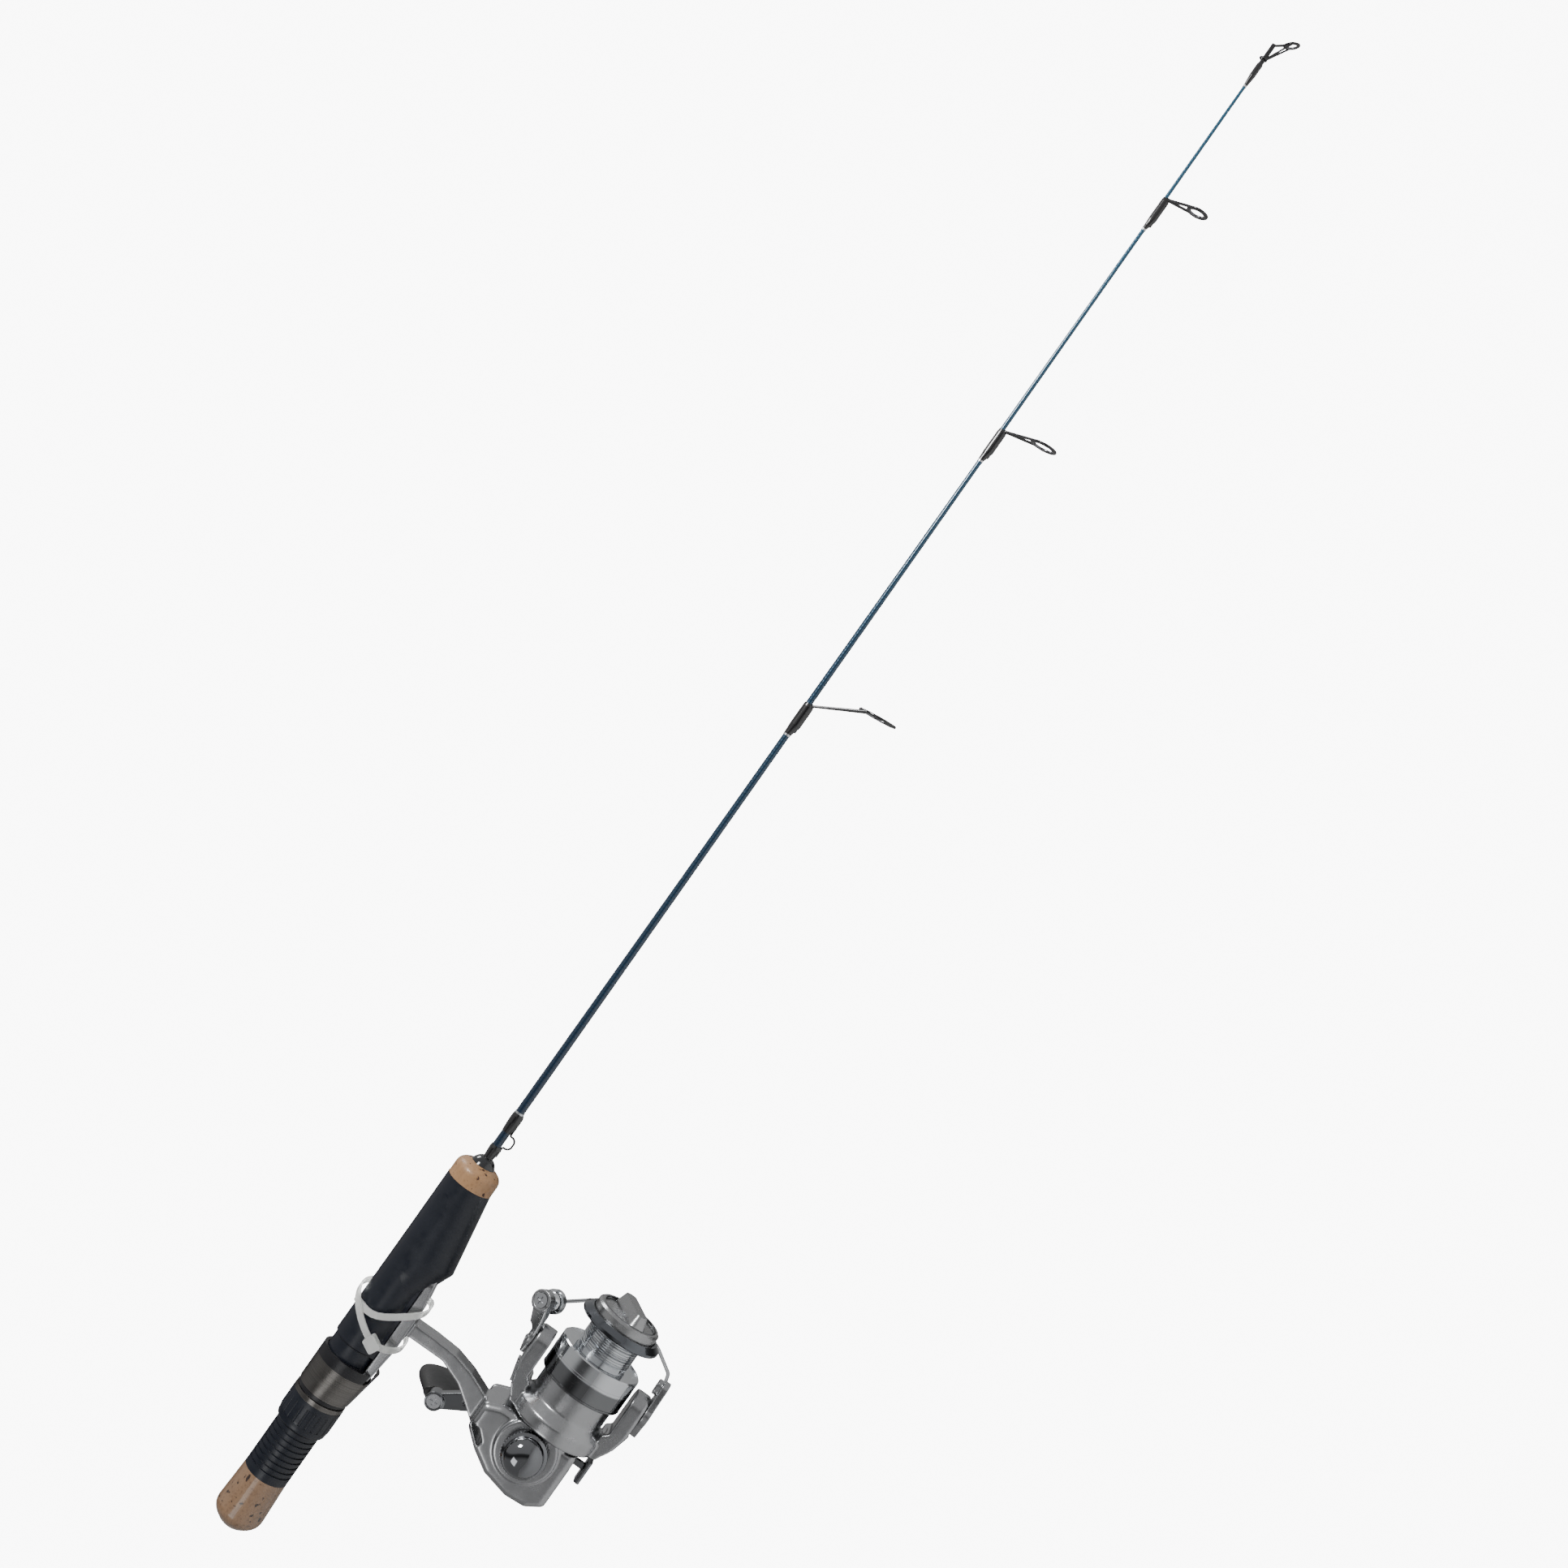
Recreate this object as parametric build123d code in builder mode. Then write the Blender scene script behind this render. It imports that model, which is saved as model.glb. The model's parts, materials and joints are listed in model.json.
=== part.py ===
"""Ice fishing rod with a small spinning reel.

Millimetres. +X runs from the butt to the tip, with the origin at the butt end on the rod's axis.
+Z is up, the reel hangs at -Z, and its crank is on the +Y side.
"""

from build123d import *
import math
import os

os.makedirs("parts", exist_ok=True)

# ---- driving dimensions: rod ----
ROD_LENGTH = 711.0
BLANK_BUTT_R = 2.3
BLANK_TIP_R = 0.6
BLANK_START = 6.0
BUTT_CORK_LENGTH = 24.5
BUTT_CORK_R = 10.2
BARREL_R = 9.4
THREAD_PITCH = 2.4
THREAD_DEPTH = 0.45
THREAD_RINGS = 14
SEAT_R = 10.1
SEAT_END = 162.0
SEAT_BORE_R = 6.0
FORE_CORK_LENGTH = 9.0
FORE_CORK_R = 9.7
DECK_Z = -8.8
DECK_HALF_WIDTH = 6.8
NUT_LENGTH = 12.3
NUT_R = 11.1
NUT_FLUTES = 24
NUT_RING_LENGTH = 2.0
HOOD_LENGTH = 18.5
HOOD_FRONT = 80.5

# ---- driving dimensions: line guides (wrap start, ring centre x, ring centre z, ring radius) ----
GUIDE_SIZES = [(376.5, 401.8, -25.2, 8.2), (507.2, 525.5, -17.1, 5.7), (617.6, 634.6, -13.4, 4.6)]
GUIDE_LEAN = 6.0
GUIDE_WRAP_LENGTH = 14.5
GUIDE_WIRE_R = 0.55
TIP_RING_R = 3.3
TIP_LEAN = 32.0

# ---- driving dimensions: reel ----
REEL_Z = -80.8
CRANK_X = 94.0
SHAFT_OFFSET = 4.0
BODY_HALF_WIDTH = 13.0
BODY_WALL = 1.5
STEM_HALF_WIDTH = 4.6
MAIN_SHAFT_R = 1.25
CRANK_SHAFT_R = 2.2
PINION_TEETH = 7
GEAR_TEETH = 35
PINION_PITCH_R = 2.3
OSC_MODULE = 0.75
CRANK_SPUR_TEETH = 14
OSC_TEETH = 15
OSC_THROW = 4.2
ROTOR_REAR = 103.5
ROTOR_R = 19.3
CUP_R = 15.7
CUP_FRONT = 127.3
ARM_INNER = 19.2
ARM_THICKNESS = 6.6
ARM_HALF_WIDTH = 6.5
BAIL_X = 128.0
SPOOL_REAR = 122.5
SPOOL_SKIRT_R = 17.7
SPOOL_FACE = 137.0
ARBOR_R = 11.0
LIP_REAR = 148.0
LIP_FRONT = 152.3
LIP_R = 17.5
KNOB_R = 14.0
KNOB_FRONT = 160.5
CRANK_ARM_LENGTH = 45.2
CRANK_ARM_ANGLE = 123.3
PADDLE_LENGTH = 27.0
PADDLE_WIDTH = 24.0
PADDLE_THICKNESS = 9.0

# ---- clearances ----
RUNNING = 0.05
CLEAR = 0.3
SLIDE_BACK = 5.4
SLIDE_FORWARD = 3.0

# ---- places worked out from the sizes above ----
SEAT_START = BUTT_CORK_LENGTH
HOOD_REAR = HOOD_FRONT - HOOD_LENGTH
NUT_RING_START = HOOD_REAR - NUT_RING_LENGTH
NUT_START = NUT_RING_START - NUT_LENGTH
CRANK_Z = REEL_Z + SHAFT_OFFSET
OSC_CENTRES = OSC_MODULE * (CRANK_SPUR_TEETH + OSC_TEETH) / 2
OSC_X = CRANK_X - math.sqrt(OSC_CENTRES ** 2 - SHAFT_OFFSET ** 2)


def save(solid, name):
    """Labels one finished piece and writes it to its own file."""
    solid.label = name
    export_step(solid, f"parts/{name}.step")


def across_x(x, y=0.0, z=0.0):
    """Sketch plane square to X, with +Y to the right and +Z up."""
    return Plane(origin=(x, y, z), x_dir=(0, 1, 0), z_dir=(1, 0, 0))


def across_y(y, x=0.0, z=0.0):
    """Sketch plane square to Y, with +X to the right and +Z up; it faces -Y."""
    return Plane(origin=(x, y, z), x_dir=(1, 0, 0), z_dir=(0, -1, 0))


def disc_x(x_start, x_end, outer, inner=0.0, y=0.0, z=0.0):
    """Round disc or ring along X."""
    with BuildPart() as disc:
        with BuildSketch(across_x(x_start, y, z)):
            Circle(outer)
            if inner > 0:
                Circle(inner, mode=Mode.SUBTRACT)
        extrude(amount=x_end - x_start)
    return disc.part


def disc_y(y_start, y_end, outer, inner=0.0, x=0.0, z=0.0):
    """Round disc or ring along Y."""
    with BuildPart() as disc:
        with BuildSketch(across_y(y_start, x, z)):
            Circle(outer)
            if inner > 0:
                Circle(inner, mode=Mode.SUBTRACT)
        extrude(amount=y_start - y_end)
    return disc.part


def turned_x(points, z=0.0):
    """Solid of revolution about the X direction at height z, from (x, radius) points."""
    with BuildPart() as turned:
        with BuildSketch(Plane(origin=(0, 0, z), x_dir=(1, 0, 0), z_dir=(0, -1, 0))):
            with BuildLine():
                Polyline(*points, close=True)
            make_face()
        revolve(axis=Axis((0, 0, z), (1, 0, 0)))
    return turned.part


def blank_r(x):
    """Radius of the tapered blank at a place along the rod."""
    share = (x - BLANK_START) / (ROD_LENGTH - BLANK_START)
    return BLANK_BUTT_R + (BLANK_TIP_R - BLANK_BUTT_R) * share


# ================= rod and handle =================
TIP_TUBE_START = ROD_LENGTH - 23.0
TIP_TUBE_END = ROD_LENGTH - 5.5
BLANK_END = ROD_LENGTH - 8.0

with BuildPart() as blank:
    with BuildSketch(across_x(BLANK_START)):
        Circle(BLANK_BUTT_R)
    with BuildSketch(across_x(BLANK_END)):
        Circle(blank_r(BLANK_END))
    loft()
save(blank.part, "blank")

with BuildPart() as butt_cork:
    with BuildSketch(Plane.XZ):
        with BuildLine():
            Line((0, 0), (0, 2.0))
            Spline((0, 2.0), (2.2, 7.2), (7.5, BUTT_CORK_R), tangents=[(0, 1), (1, 0)])
            Line((7.5, BUTT_CORK_R), (BUTT_CORK_LENGTH, BARREL_R))
            Line((BUTT_CORK_LENGTH, BARREL_R), (BUTT_CORK_LENGTH, 0))
            Line((BUTT_CORK_LENGTH, 0), (0, 0))
        make_face()
    revolve(axis=Axis.X)
    with BuildSketch(across_x(BLANK_START)):
        Circle(BLANK_BUTT_R)
    with BuildSketch(across_x(BUTT_CORK_LENGTH)):
        Circle(blank_r(BUTT_CORK_LENGTH))
    loft(mode=Mode.SUBTRACT)
save(butt_cork.part, "butt_cork")

# The seat is one moulding: collar, threaded barrel, body with a flat deck, and the fore hood.
BARREL_END = HOOD_FRONT + 6.0
THREAD_START = SEAT_START + 3.5
FORE_HOOD_START = 113.0
FORE_HOOD_LIP = 122.0
FORE_HOOD_PEAK = 129.0
FORE_HOOD_DROP = 15.3
FOOT_REAR = 75.5
FOOT_FRONT = 126.5
FOOT_END_THICKNESS = 3.0
FOOT_MIDDLE_THICKNESS = 5.0
FOOT_HALF_WIDTH = 6.3
STEM_REAR = 100.6
STEM_FRONT = 106.3

with BuildPart() as foot_block:
    with BuildSketch(across_y(FOOT_HALF_WIDTH)):
        with BuildLine():
            Polyline(
                (FOOT_REAR, DECK_Z),
                (FOOT_FRONT, DECK_Z),
                (FOOT_FRONT, DECK_Z - FOOT_END_THICKNESS),
                (STEM_FRONT + 6.0, DECK_Z - FOOT_MIDDLE_THICKNESS),
                (STEM_REAR - 8.0, DECK_Z - FOOT_MIDDLE_THICKNESS),
                (FOOT_REAR, DECK_Z - FOOT_END_THICKNESS),
                close=True,
            )
        make_face()
    extrude(amount=2 * FOOT_HALF_WIDTH)
    fillet(foot_block.edges().filter_by(Axis.Z), radius=5.0)


def hood_oval(x, drop, width):
    """Oval section of the fore hood, level at its top and dropping below the seat."""
    top = FORE_CORK_R + 0.15
    with BuildSketch(across_x(x, 0, (top - drop) / 2)) as oval:
        Ellipse(width, (top + drop) / 2)
    return oval.sketch


with BuildPart() as reel_seat:
    with BuildSketch(Plane.XZ):
        with BuildLine():
            Polyline(
                (SEAT_START, 0),
                (SEAT_START, BARREL_R),
                (BARREL_END, BARREL_R),
                (BARREL_END + 0.6, SEAT_R),
                (SEAT_END, FORE_CORK_R),
                (SEAT_END, 0),
                close=True,
            )
        make_face()
    revolve(axis=Axis.X)
    with BuildSketch(across_x(BARREL_END)):
        with Locations((0, (DECK_Z - 4.0) / 2)):
            Rectangle(2 * DECK_HALF_WIDTH, -4.0 - DECK_Z)
    extrude(amount=FORE_HOOD_LIP - BARREL_END)
    add(hood_oval(FORE_HOOD_START, 9.4, SEAT_R - 0.6))
    add(hood_oval(FORE_HOOD_LIP, 12.3, SEAT_R + 0.1))
    add(hood_oval(FORE_HOOD_PEAK, FORE_HOOD_DROP, SEAT_R + 0.15))
    loft(ruled=True)
    add(hood_oval(FORE_HOOD_PEAK, FORE_HOOD_DROP, SEAT_R + 0.15))
    add(hood_oval(SEAT_END, FORE_CORK_R, FORE_CORK_R + 0.05))
    loft()
    # flat under the foot
    with BuildSketch(across_x(FOOT_REAR - 4.0)):
        with Locations((0, DECK_Z - 10.0)):
            Rectangle(30, 20)
    extrude(amount=FORE_HOOD_START + 3.0 - FOOT_REAR + 4.0, mode=Mode.SUBTRACT)
    # pocket for the foot's front end
    add(foot_block.part, mode=Mode.SUBTRACT)
    # bore for the arbors
    with BuildSketch(across_x(SEAT_START)):
        Circle(SEAT_BORE_R)
    extrude(amount=SEAT_END - SEAT_START, mode=Mode.SUBTRACT)
    # thread grooves, drawn as plain rings
    for ring in range(THREAD_RINGS):
        groove_x = THREAD_START + ring * THREAD_PITCH
        with BuildSketch(across_x(groove_x)):
            Circle(BARREL_R + 1.0)
            Circle(BARREL_R - THREAD_DEPTH, mode=Mode.SUBTRACT)
        extrude(amount=0.9, mode=Mode.SUBTRACT)
save(reel_seat.part, "reel_seat")

ARBOR_LENGTH = 12.0
with BuildPart() as seat_arbors:
    for arbor_x in (SEAT_START, 86.0, SEAT_END - ARBOR_LENGTH):
        with BuildSketch(across_x(arbor_x)):
            Circle(SEAT_BORE_R)
        extrude(amount=ARBOR_LENGTH)
    with BuildSketch(across_x(BLANK_START)):
        Circle(BLANK_BUTT_R)
    with BuildSketch(across_x(BLANK_END)):
        Circle(blank_r(BLANK_END))
    loft(mode=Mode.SUBTRACT)
save(seat_arbors.part, "seat_arbors")

FORE_CORK_END = SEAT_END + FORE_CORK_LENGTH
with BuildPart() as fore_cork:
    with BuildSketch(Plane.XZ):
        with BuildLine():
            Line((SEAT_END, 0), (SEAT_END, FORE_CORK_R))
            Line((SEAT_END, FORE_CORK_R), (SEAT_END + 4.5, FORE_CORK_R))
            Spline(
                (SEAT_END + 4.5, FORE_CORK_R),
                (SEAT_END + 7.8, 7.9),
                (FORE_CORK_END, 4.9),
                tangents=[(1, 0), (0.25, -1)],
            )
            Line((FORE_CORK_END, 4.9), (FORE_CORK_END, 0))
            Line((FORE_CORK_END, 0), (SEAT_END, 0))
        make_face()
    revolve(axis=Axis.X)
    with BuildSketch(across_x(SEAT_END)):
        Circle(blank_r(SEAT_END))
    with BuildSketch(across_x(FORE_CORK_END)):
        Circle(blank_r(FORE_CORK_END))
    loft(mode=Mode.SUBTRACT)
save(fore_cork.part, "fore_cork")

CHECK_LENGTH = 3.2
CHECK_END = FORE_CORK_END + CHECK_LENGTH
with BuildPart() as winding_check:
    with BuildSketch(Plane.XZ):
        with BuildLine():
            Line((FORE_CORK_END, 0), (FORE_CORK_END, 5.1))
            Spline((FORE_CORK_END, 5.1), (FORE_CORK_END + 2.0, 4.0), (CHECK_END, 2.5))
            Line((CHECK_END, 2.5), (CHECK_END, 0))
            Line((CHECK_END, 0), (FORE_CORK_END, 0))
        make_face()
    revolve(axis=Axis.X)
    with BuildSketch(across_x(FORE_CORK_END)):
        Circle(blank_r(FORE_CORK_END))
    with BuildSketch(across_x(CHECK_END)):
        Circle(blank_r(CHECK_END))
    loft(mode=Mode.SUBTRACT)
save(winding_check.part, "winding_check")


# ================= thread wraps, trim bands and hook keeper =================
def wrap_solid(x_start, x_end, build, foot=0.0):
    """Thread wrap over the blank: a spindle with tapered ends, lower where it covers a foot."""
    first = x_start + 1.6
    last = x_end - 1.2
    with BuildPart() as wrap:
        with BuildSketch(across_x(x_start)):
            Circle(blank_r(x_start) + 0.12)
        with BuildSketch(across_x(first + 3.0, 0, -foot / 2)):
            Ellipse(blank_r(first) + build, blank_r(first) + build + foot / 2)
        with BuildSketch(across_x(last, 0, -foot / 2)):
            Ellipse(blank_r(last) + build, blank_r(last) + build + foot / 2)
        with BuildSketch(across_x(x_end, 0, -foot / 4)):
            Ellipse(blank_r(x_end) + 0.2, blank_r(x_end) + 0.2 + foot / 4)
        loft(ruled=True)
        with BuildSketch(across_x(x_start)):
            Circle(blank_r(x_start))
        with BuildSketch(across_x(x_end)):
            Circle(blank_r(x_end))
        loft(mode=Mode.SUBTRACT)
    return wrap.part


FOOT_WIRE_DROP = 1.1
KEEPER_GAP_START = CHECK_END + 6.0
KEEPER_GAP_END = KEEPER_GAP_START + 6.4
KEEPER_WRAP_END = KEEPER_GAP_END + 8.6
KEEPER_WIRE_R = 0.42

# Every foot runs under its wrap just below the blank, so the wraps are cut round the feet.
guide_wires = []
for wrap_x, ring_x, ring_z, ring_r in GUIDE_SIZES:
    foot_z = -(blank_r(wrap_x) + GUIDE_WIRE_R)
    with BuildPart() as foot:
        with BuildSketch(across_x(wrap_x + 1.8, 0, foot_z)):
            Circle(GUIDE_WIRE_R)
        extrude(amount=GUIDE_WRAP_LENGTH - 1.8)
    guide_wires.append(foot.part)

with BuildPart() as hook_keeper:
    keeper_z = -(blank_r(KEEPER_GAP_START) + KEEPER_WIRE_R)
    with BuildLine():
        FilletPolyline(
            (KEEPER_GAP_START - 4.0, 0, keeper_z),
            (KEEPER_GAP_START + 0.6, 0, keeper_z),
            (KEEPER_GAP_START + 0.6, 0, keeper_z - 2.9),
            (KEEPER_GAP_END - 0.6, 0, keeper_z - 2.9),
            (KEEPER_GAP_END - 0.6, 0, keeper_z),
            (KEEPER_GAP_END + 4.5, 0, keeper_z),
            radius=[0.6, 2.0, 2.0, 0.6],
        )
    with BuildSketch(across_x(KEEPER_GAP_START - 4.0, 0, keeper_z)):
        Circle(KEEPER_WIRE_R)
    sweep()
save(hook_keeper.part, "hook_keeper")

with BuildPart() as keeper_wraps:
    add(wrap_solid(CHECK_END, KEEPER_GAP_START, 0.45, 0.5))
    add(wrap_solid(KEEPER_GAP_END, KEEPER_WRAP_END, 0.4, 0.5))
    for start, end in ((KEEPER_GAP_START - 4.0, KEEPER_GAP_START), (KEEPER_GAP_END, KEEPER_GAP_END + 4.5)):
        add(disc_x(start, end, KEEPER_WIRE_R + 0.06, 0, 0, keeper_z), mode=Mode.SUBTRACT)
    add(blank.part, mode=Mode.SUBTRACT)
save(keeper_wraps.part, "keeper_wraps")

TIP_WRAP_START = ROD_LENGTH - 25.0
with BuildPart() as tip_tube:
    with BuildSketch(across_x(TIP_TUBE_START)):
        Circle(blank_r(TIP_TUBE_START) + 0.28)
    with BuildSketch(across_x(TIP_TUBE_END)):
        Circle(blank_r(TIP_TUBE_START) + 0.28)
    loft()

with BuildPart() as guide_wraps:
    for wrap_x, ring_x, ring_z, ring_r in GUIDE_SIZES:
        add(wrap_solid(wrap_x, wrap_x + GUIDE_WRAP_LENGTH, 0.35, FOOT_WIRE_DROP))
    add(wrap_solid(TIP_WRAP_START, TIP_WRAP_START + 11.0, 0.6))
    for foot in guide_wires:
        add(foot, mode=Mode.SUBTRACT)
    add(tip_tube.part, mode=Mode.SUBTRACT)
    add(blank.part, mode=Mode.SUBTRACT)
save(guide_wraps.part, "guide_wraps")

TRIM_WIDTH = 0.8
trim_places = [KEEPER_WRAP_END, TIP_WRAP_START - TRIM_WIDTH]
trim_places += [wrap_x - TRIM_WIDTH for wrap_x, ring_x, ring_z, ring_r in GUIDE_SIZES]
with BuildPart() as trim_bands:
    for trim_x in trim_places:
        with BuildSketch(across_x(trim_x)):
            Circle(blank_r(trim_x) + 0.14)
        extrude(amount=TRIM_WIDTH)
    add(blank.part, mode=Mode.SUBTRACT)
save(trim_bands.part, "trim_bands")


# ================= line guides =================
def leaning_plane(x, z, lean):
    """Plane of a guide ring: square to the rod, with its lower edge leaning to the tip."""
    tilt = math.radians(lean)
    return Plane(origin=(x, 0, z), x_dir=(0, 1, 0), z_dir=(math.cos(tilt), 0, math.sin(tilt)))


def ring_solid(plane, outer, section):
    """Torus lying in the given plane."""
    with BuildPart() as ring:
        side = Plane(origin=plane.origin, x_dir=plane.x_dir, z_dir=plane.y_dir)
        with BuildSketch(side):
            with Locations((outer - section, 0)):
                Circle(section)
        revolve(axis=Axis(plane.origin, plane.z_dir))
    return ring.part


for number, (wrap_x, ring_x, ring_z, ring_r) in enumerate(GUIDE_SIZES, start=1):
    plane = leaning_plane(ring_x, ring_z, GUIDE_LEAN)
    with BuildPart() as guide_ring:
        add(ring_solid(plane, ring_r - 1.3 * GUIDE_WIRE_R, GUIDE_WIRE_R))
    save(guide_ring.part, f"guide_{number}_ring")

    foot_z = -(blank_r(wrap_x) + GUIDE_WIRE_R)
    foot_end = wrap_x + GUIDE_WRAP_LENGTH
    mean_r = ring_r - GUIDE_WIRE_R
    up = plane.y_dir
    # each leg meets the ring's frame at its shoulder, 50 degrees off the top
    shoulder = math.radians(50)
    with BuildPart() as guide_frame:
        add(guide_wires[number - 1])
        add(ring_solid(plane, ring_r, GUIDE_WIRE_R))
        with BuildSketch(across_x(foot_end - 0.6, 0, foot_z)):
            Circle(1.35 * GUIDE_WIRE_R)
        extrude(amount=1.2)
        for side in (-1, 1):
            meet = (
                ring_x + up.X * mean_r * math.cos(shoulder),
                side * mean_r * math.sin(shoulder),
                ring_z + up.Z * mean_r * math.cos(shoulder),
            )
            start = (foot_end, side * 0.35, foot_z)
            run = Vector(*meet) - Vector(*start)
            leg = Plane(origin=start, z_dir=run)
            with BuildSketch(leg):
                Circle(GUIDE_WIRE_R)
            extrude(amount=run.length)
        add(guide_ring.part, mode=Mode.SUBTRACT)
        add(guide_wraps.part, mode=Mode.SUBTRACT)
        add(blank.part, mode=Mode.SUBTRACT)
    save(guide_frame.part, f"guide_{number}_frame")

TIP_RING_Z = -5.9
TIP_RING_X = ROD_LENGTH - 1.96
tip_plane = leaning_plane(TIP_RING_X, TIP_RING_Z, TIP_LEAN)
with BuildPart() as tip_ring:
    add(ring_solid(tip_plane, TIP_RING_R - 0.55, 0.45))
save(tip_ring.part, "tip_top_ring")

TIP_STAY_X = ROD_LENGTH - 12.5
with BuildPart() as tip_frame:
    add(tip_tube.part)
    add(ring_solid(tip_plane, TIP_RING_R, 0.45))
    tip_up = tip_plane.y_dir
    crown = Vector(TIP_RING_X, 0, TIP_RING_Z) + tip_up * (TIP_RING_R - 0.45)
    tube_nose = Vector(TIP_TUBE_END - 0.6, 0, 0)
    with BuildSketch(Plane(origin=tube_nose, z_dir=crown - tube_nose)):
        Circle(0.5)
    extrude(amount=(crown - tube_nose).length)
    for side in (-1, 1):
        stay_start = Vector(TIP_STAY_X, side * 0.75, -0.5)
        stay_end = Vector(TIP_RING_X, side * (TIP_RING_R - 0.45), TIP_RING_Z)
        with BuildSketch(Plane(origin=stay_start, z_dir=stay_end - stay_start)):
            Circle(0.4)
        extrude(amount=(stay_end - stay_start).length)
    add(ring_solid(Plane(origin=(TIP_STAY_X, 0, 0.2), x_dir=(0, 1, 0), z_dir=(1, 0, 0)), 1.75, 0.4))
    add(tip_ring.part, mode=Mode.SUBTRACT)
    add(blank.part, mode=Mode.SUBTRACT)
    add(guide_wraps.part, mode=Mode.SUBTRACT)
save(tip_frame.part, "tip_top_frame")

# ================= sliding hood and lock nut =================
CREST_CLEAR = 0.3
FOOT_RISE = 0.6
HOOD_BORE = BARREL_R + CREST_CLEAR
HOOD_DROP = 13.9
POCKET_HALF_WIDTH = FOOT_HALF_WIDTH + CLEAR
POCKET_FLOOR = DECK_Z - FOOT_END_THICKNESS - FOOT_RISE - CLEAR
POCKET_START = FOOT_REAR - 1.5
SLEEVE_START = HOOD_REAR + 2.0
SLEEVE_END = HOOD_FRONT - 4.5


def hood_sections(start, end, inset):
    """Eccentric sleeve, round at its rear and drooping towards its front."""
    droop = (HOOD_DROP - NUT_R) / (HOOD_FRONT - HOOD_REAR - 3.0)
    with BuildPart() as sleeve:
        for x in (start, end):
            low = NUT_R + droop * max(0.0, x - HOOD_REAR - 1.0) - inset
            high = NUT_R - inset
            with BuildSketch(across_x(x, 0, (high - low) / 2)):
                Ellipse(NUT_R - inset, (high + low) / 2)
        loft()
    return sleeve.part


with BuildPart() as hood_core:
    add(hood_sections(HOOD_REAR, SLEEVE_END, 0.6))
    add(hood_sections(SLEEVE_END, HOOD_FRONT, 0.0))
    with BuildSketch(across_x(HOOD_REAR)):
        Circle(HOOD_BORE)
    extrude(amount=HOOD_LENGTH, mode=Mode.SUBTRACT)
    with BuildSketch(across_x(POCKET_START)):
        with Locations((0, (POCKET_FLOOR - 7.0) / 2)):
            Rectangle(2 * POCKET_HALF_WIDTH, -7.0 - POCKET_FLOOR)
    extrude(amount=HOOD_FRONT - POCKET_START, mode=Mode.SUBTRACT)
save(hood_core.part, "hood_core")

with BuildPart() as hood_sleeve:
    add(hood_sections(SLEEVE_START, SLEEVE_END, 0.0))
    add(hood_sections(HOOD_REAR, SLEEVE_END, 0.6), mode=Mode.SUBTRACT)
save(hood_sleeve.part, "hood_sleeve")

with BuildPart() as lock_nut:
    with BuildSketch(Plane.XZ):
        with BuildLine():
            Line((NUT_START, HOOD_BORE), (NUT_START, HOOD_BORE + 0.4))
            Spline(
                (NUT_START, HOOD_BORE + 0.4),
                (NUT_START + 1.4, NUT_R - 0.35),
                (NUT_START + 3.6, NUT_R),
                tangents=[(0.1, 1), (1, 0)],
            )
            Line((NUT_START + 3.6, NUT_R), (NUT_RING_START, NUT_R))
            Line((NUT_RING_START, NUT_R), (NUT_RING_START, HOOD_BORE))
            Line((NUT_RING_START, HOOD_BORE), (NUT_START, HOOD_BORE))
        make_face()
    revolve(axis=Axis.X)
    with BuildSketch(across_x(NUT_START + 3.0)):
        with PolarLocations(NUT_R + 0.35, NUT_FLUTES):
            Circle(0.7)
    extrude(amount=NUT_LENGTH - 5.0, mode=Mode.SUBTRACT)
save(lock_nut.part, "lock_nut")

NUT_FACE_GAP = 0.1
with BuildPart() as nut_ring:
    with BuildSketch(across_x(NUT_RING_START)):
        Circle(NUT_R - 0.1)
        Circle(HOOD_BORE, mode=Mode.SUBTRACT)
    extrude(amount=NUT_RING_LENGTH - NUT_FACE_GAP)
save(nut_ring.part, "nut_ring")

# ================= reel body =================
HOUSING_FRONT = 103.0
HOUSING_FLOOR = -95.0
CORNER = 2.4
COVER_FACE = 8.0
NECK_R = 14.8
NECK_FRONT = 111.0
GEAR_R = 13.1
CHAMBER_R = GEAR_R + 0.5
CRANK_BUSH_R = 4.0
PINION_SHANK_R = 2.85
BEARING_R = 5.5
BEARING_WIDTH = 3.0
BOSS_R = 12.5
BOSS_HEIGHT = 1.6
SIDE_FLOOR = -(BODY_HALF_WIDTH - BODY_WALL)
CHAMBER_REAR = 76.9
OSC_POST_R = 1.5
GUIDE_PIN_R = 0.9
GUIDE_PIN_Y = 0.1
GUIDE_PIN_Z = REEL_Z - 4.2
LEVER_Y = -5.0
LEVER_Z = REEL_Z - 11.0
LEVER_SHAFT_R = 1.2
LEVER_STALK_X = 98.0
LEVER_STALK = 2.4
LEVER_TAB_Z = -100.1
# the lever swings its stalk towards +Y, so its slot starts on that side
STALK_SLOT_START = 1.0
STALK_SLOT_TOP = -90.4
STALK_SLOT_FLOOR = -97.0
COVER_SCREW_PLACES = [(80.5, -91.5), (98.5, -91.8), (81.8, -63.6)]
COVER_SCREW_R = 1.0

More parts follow.
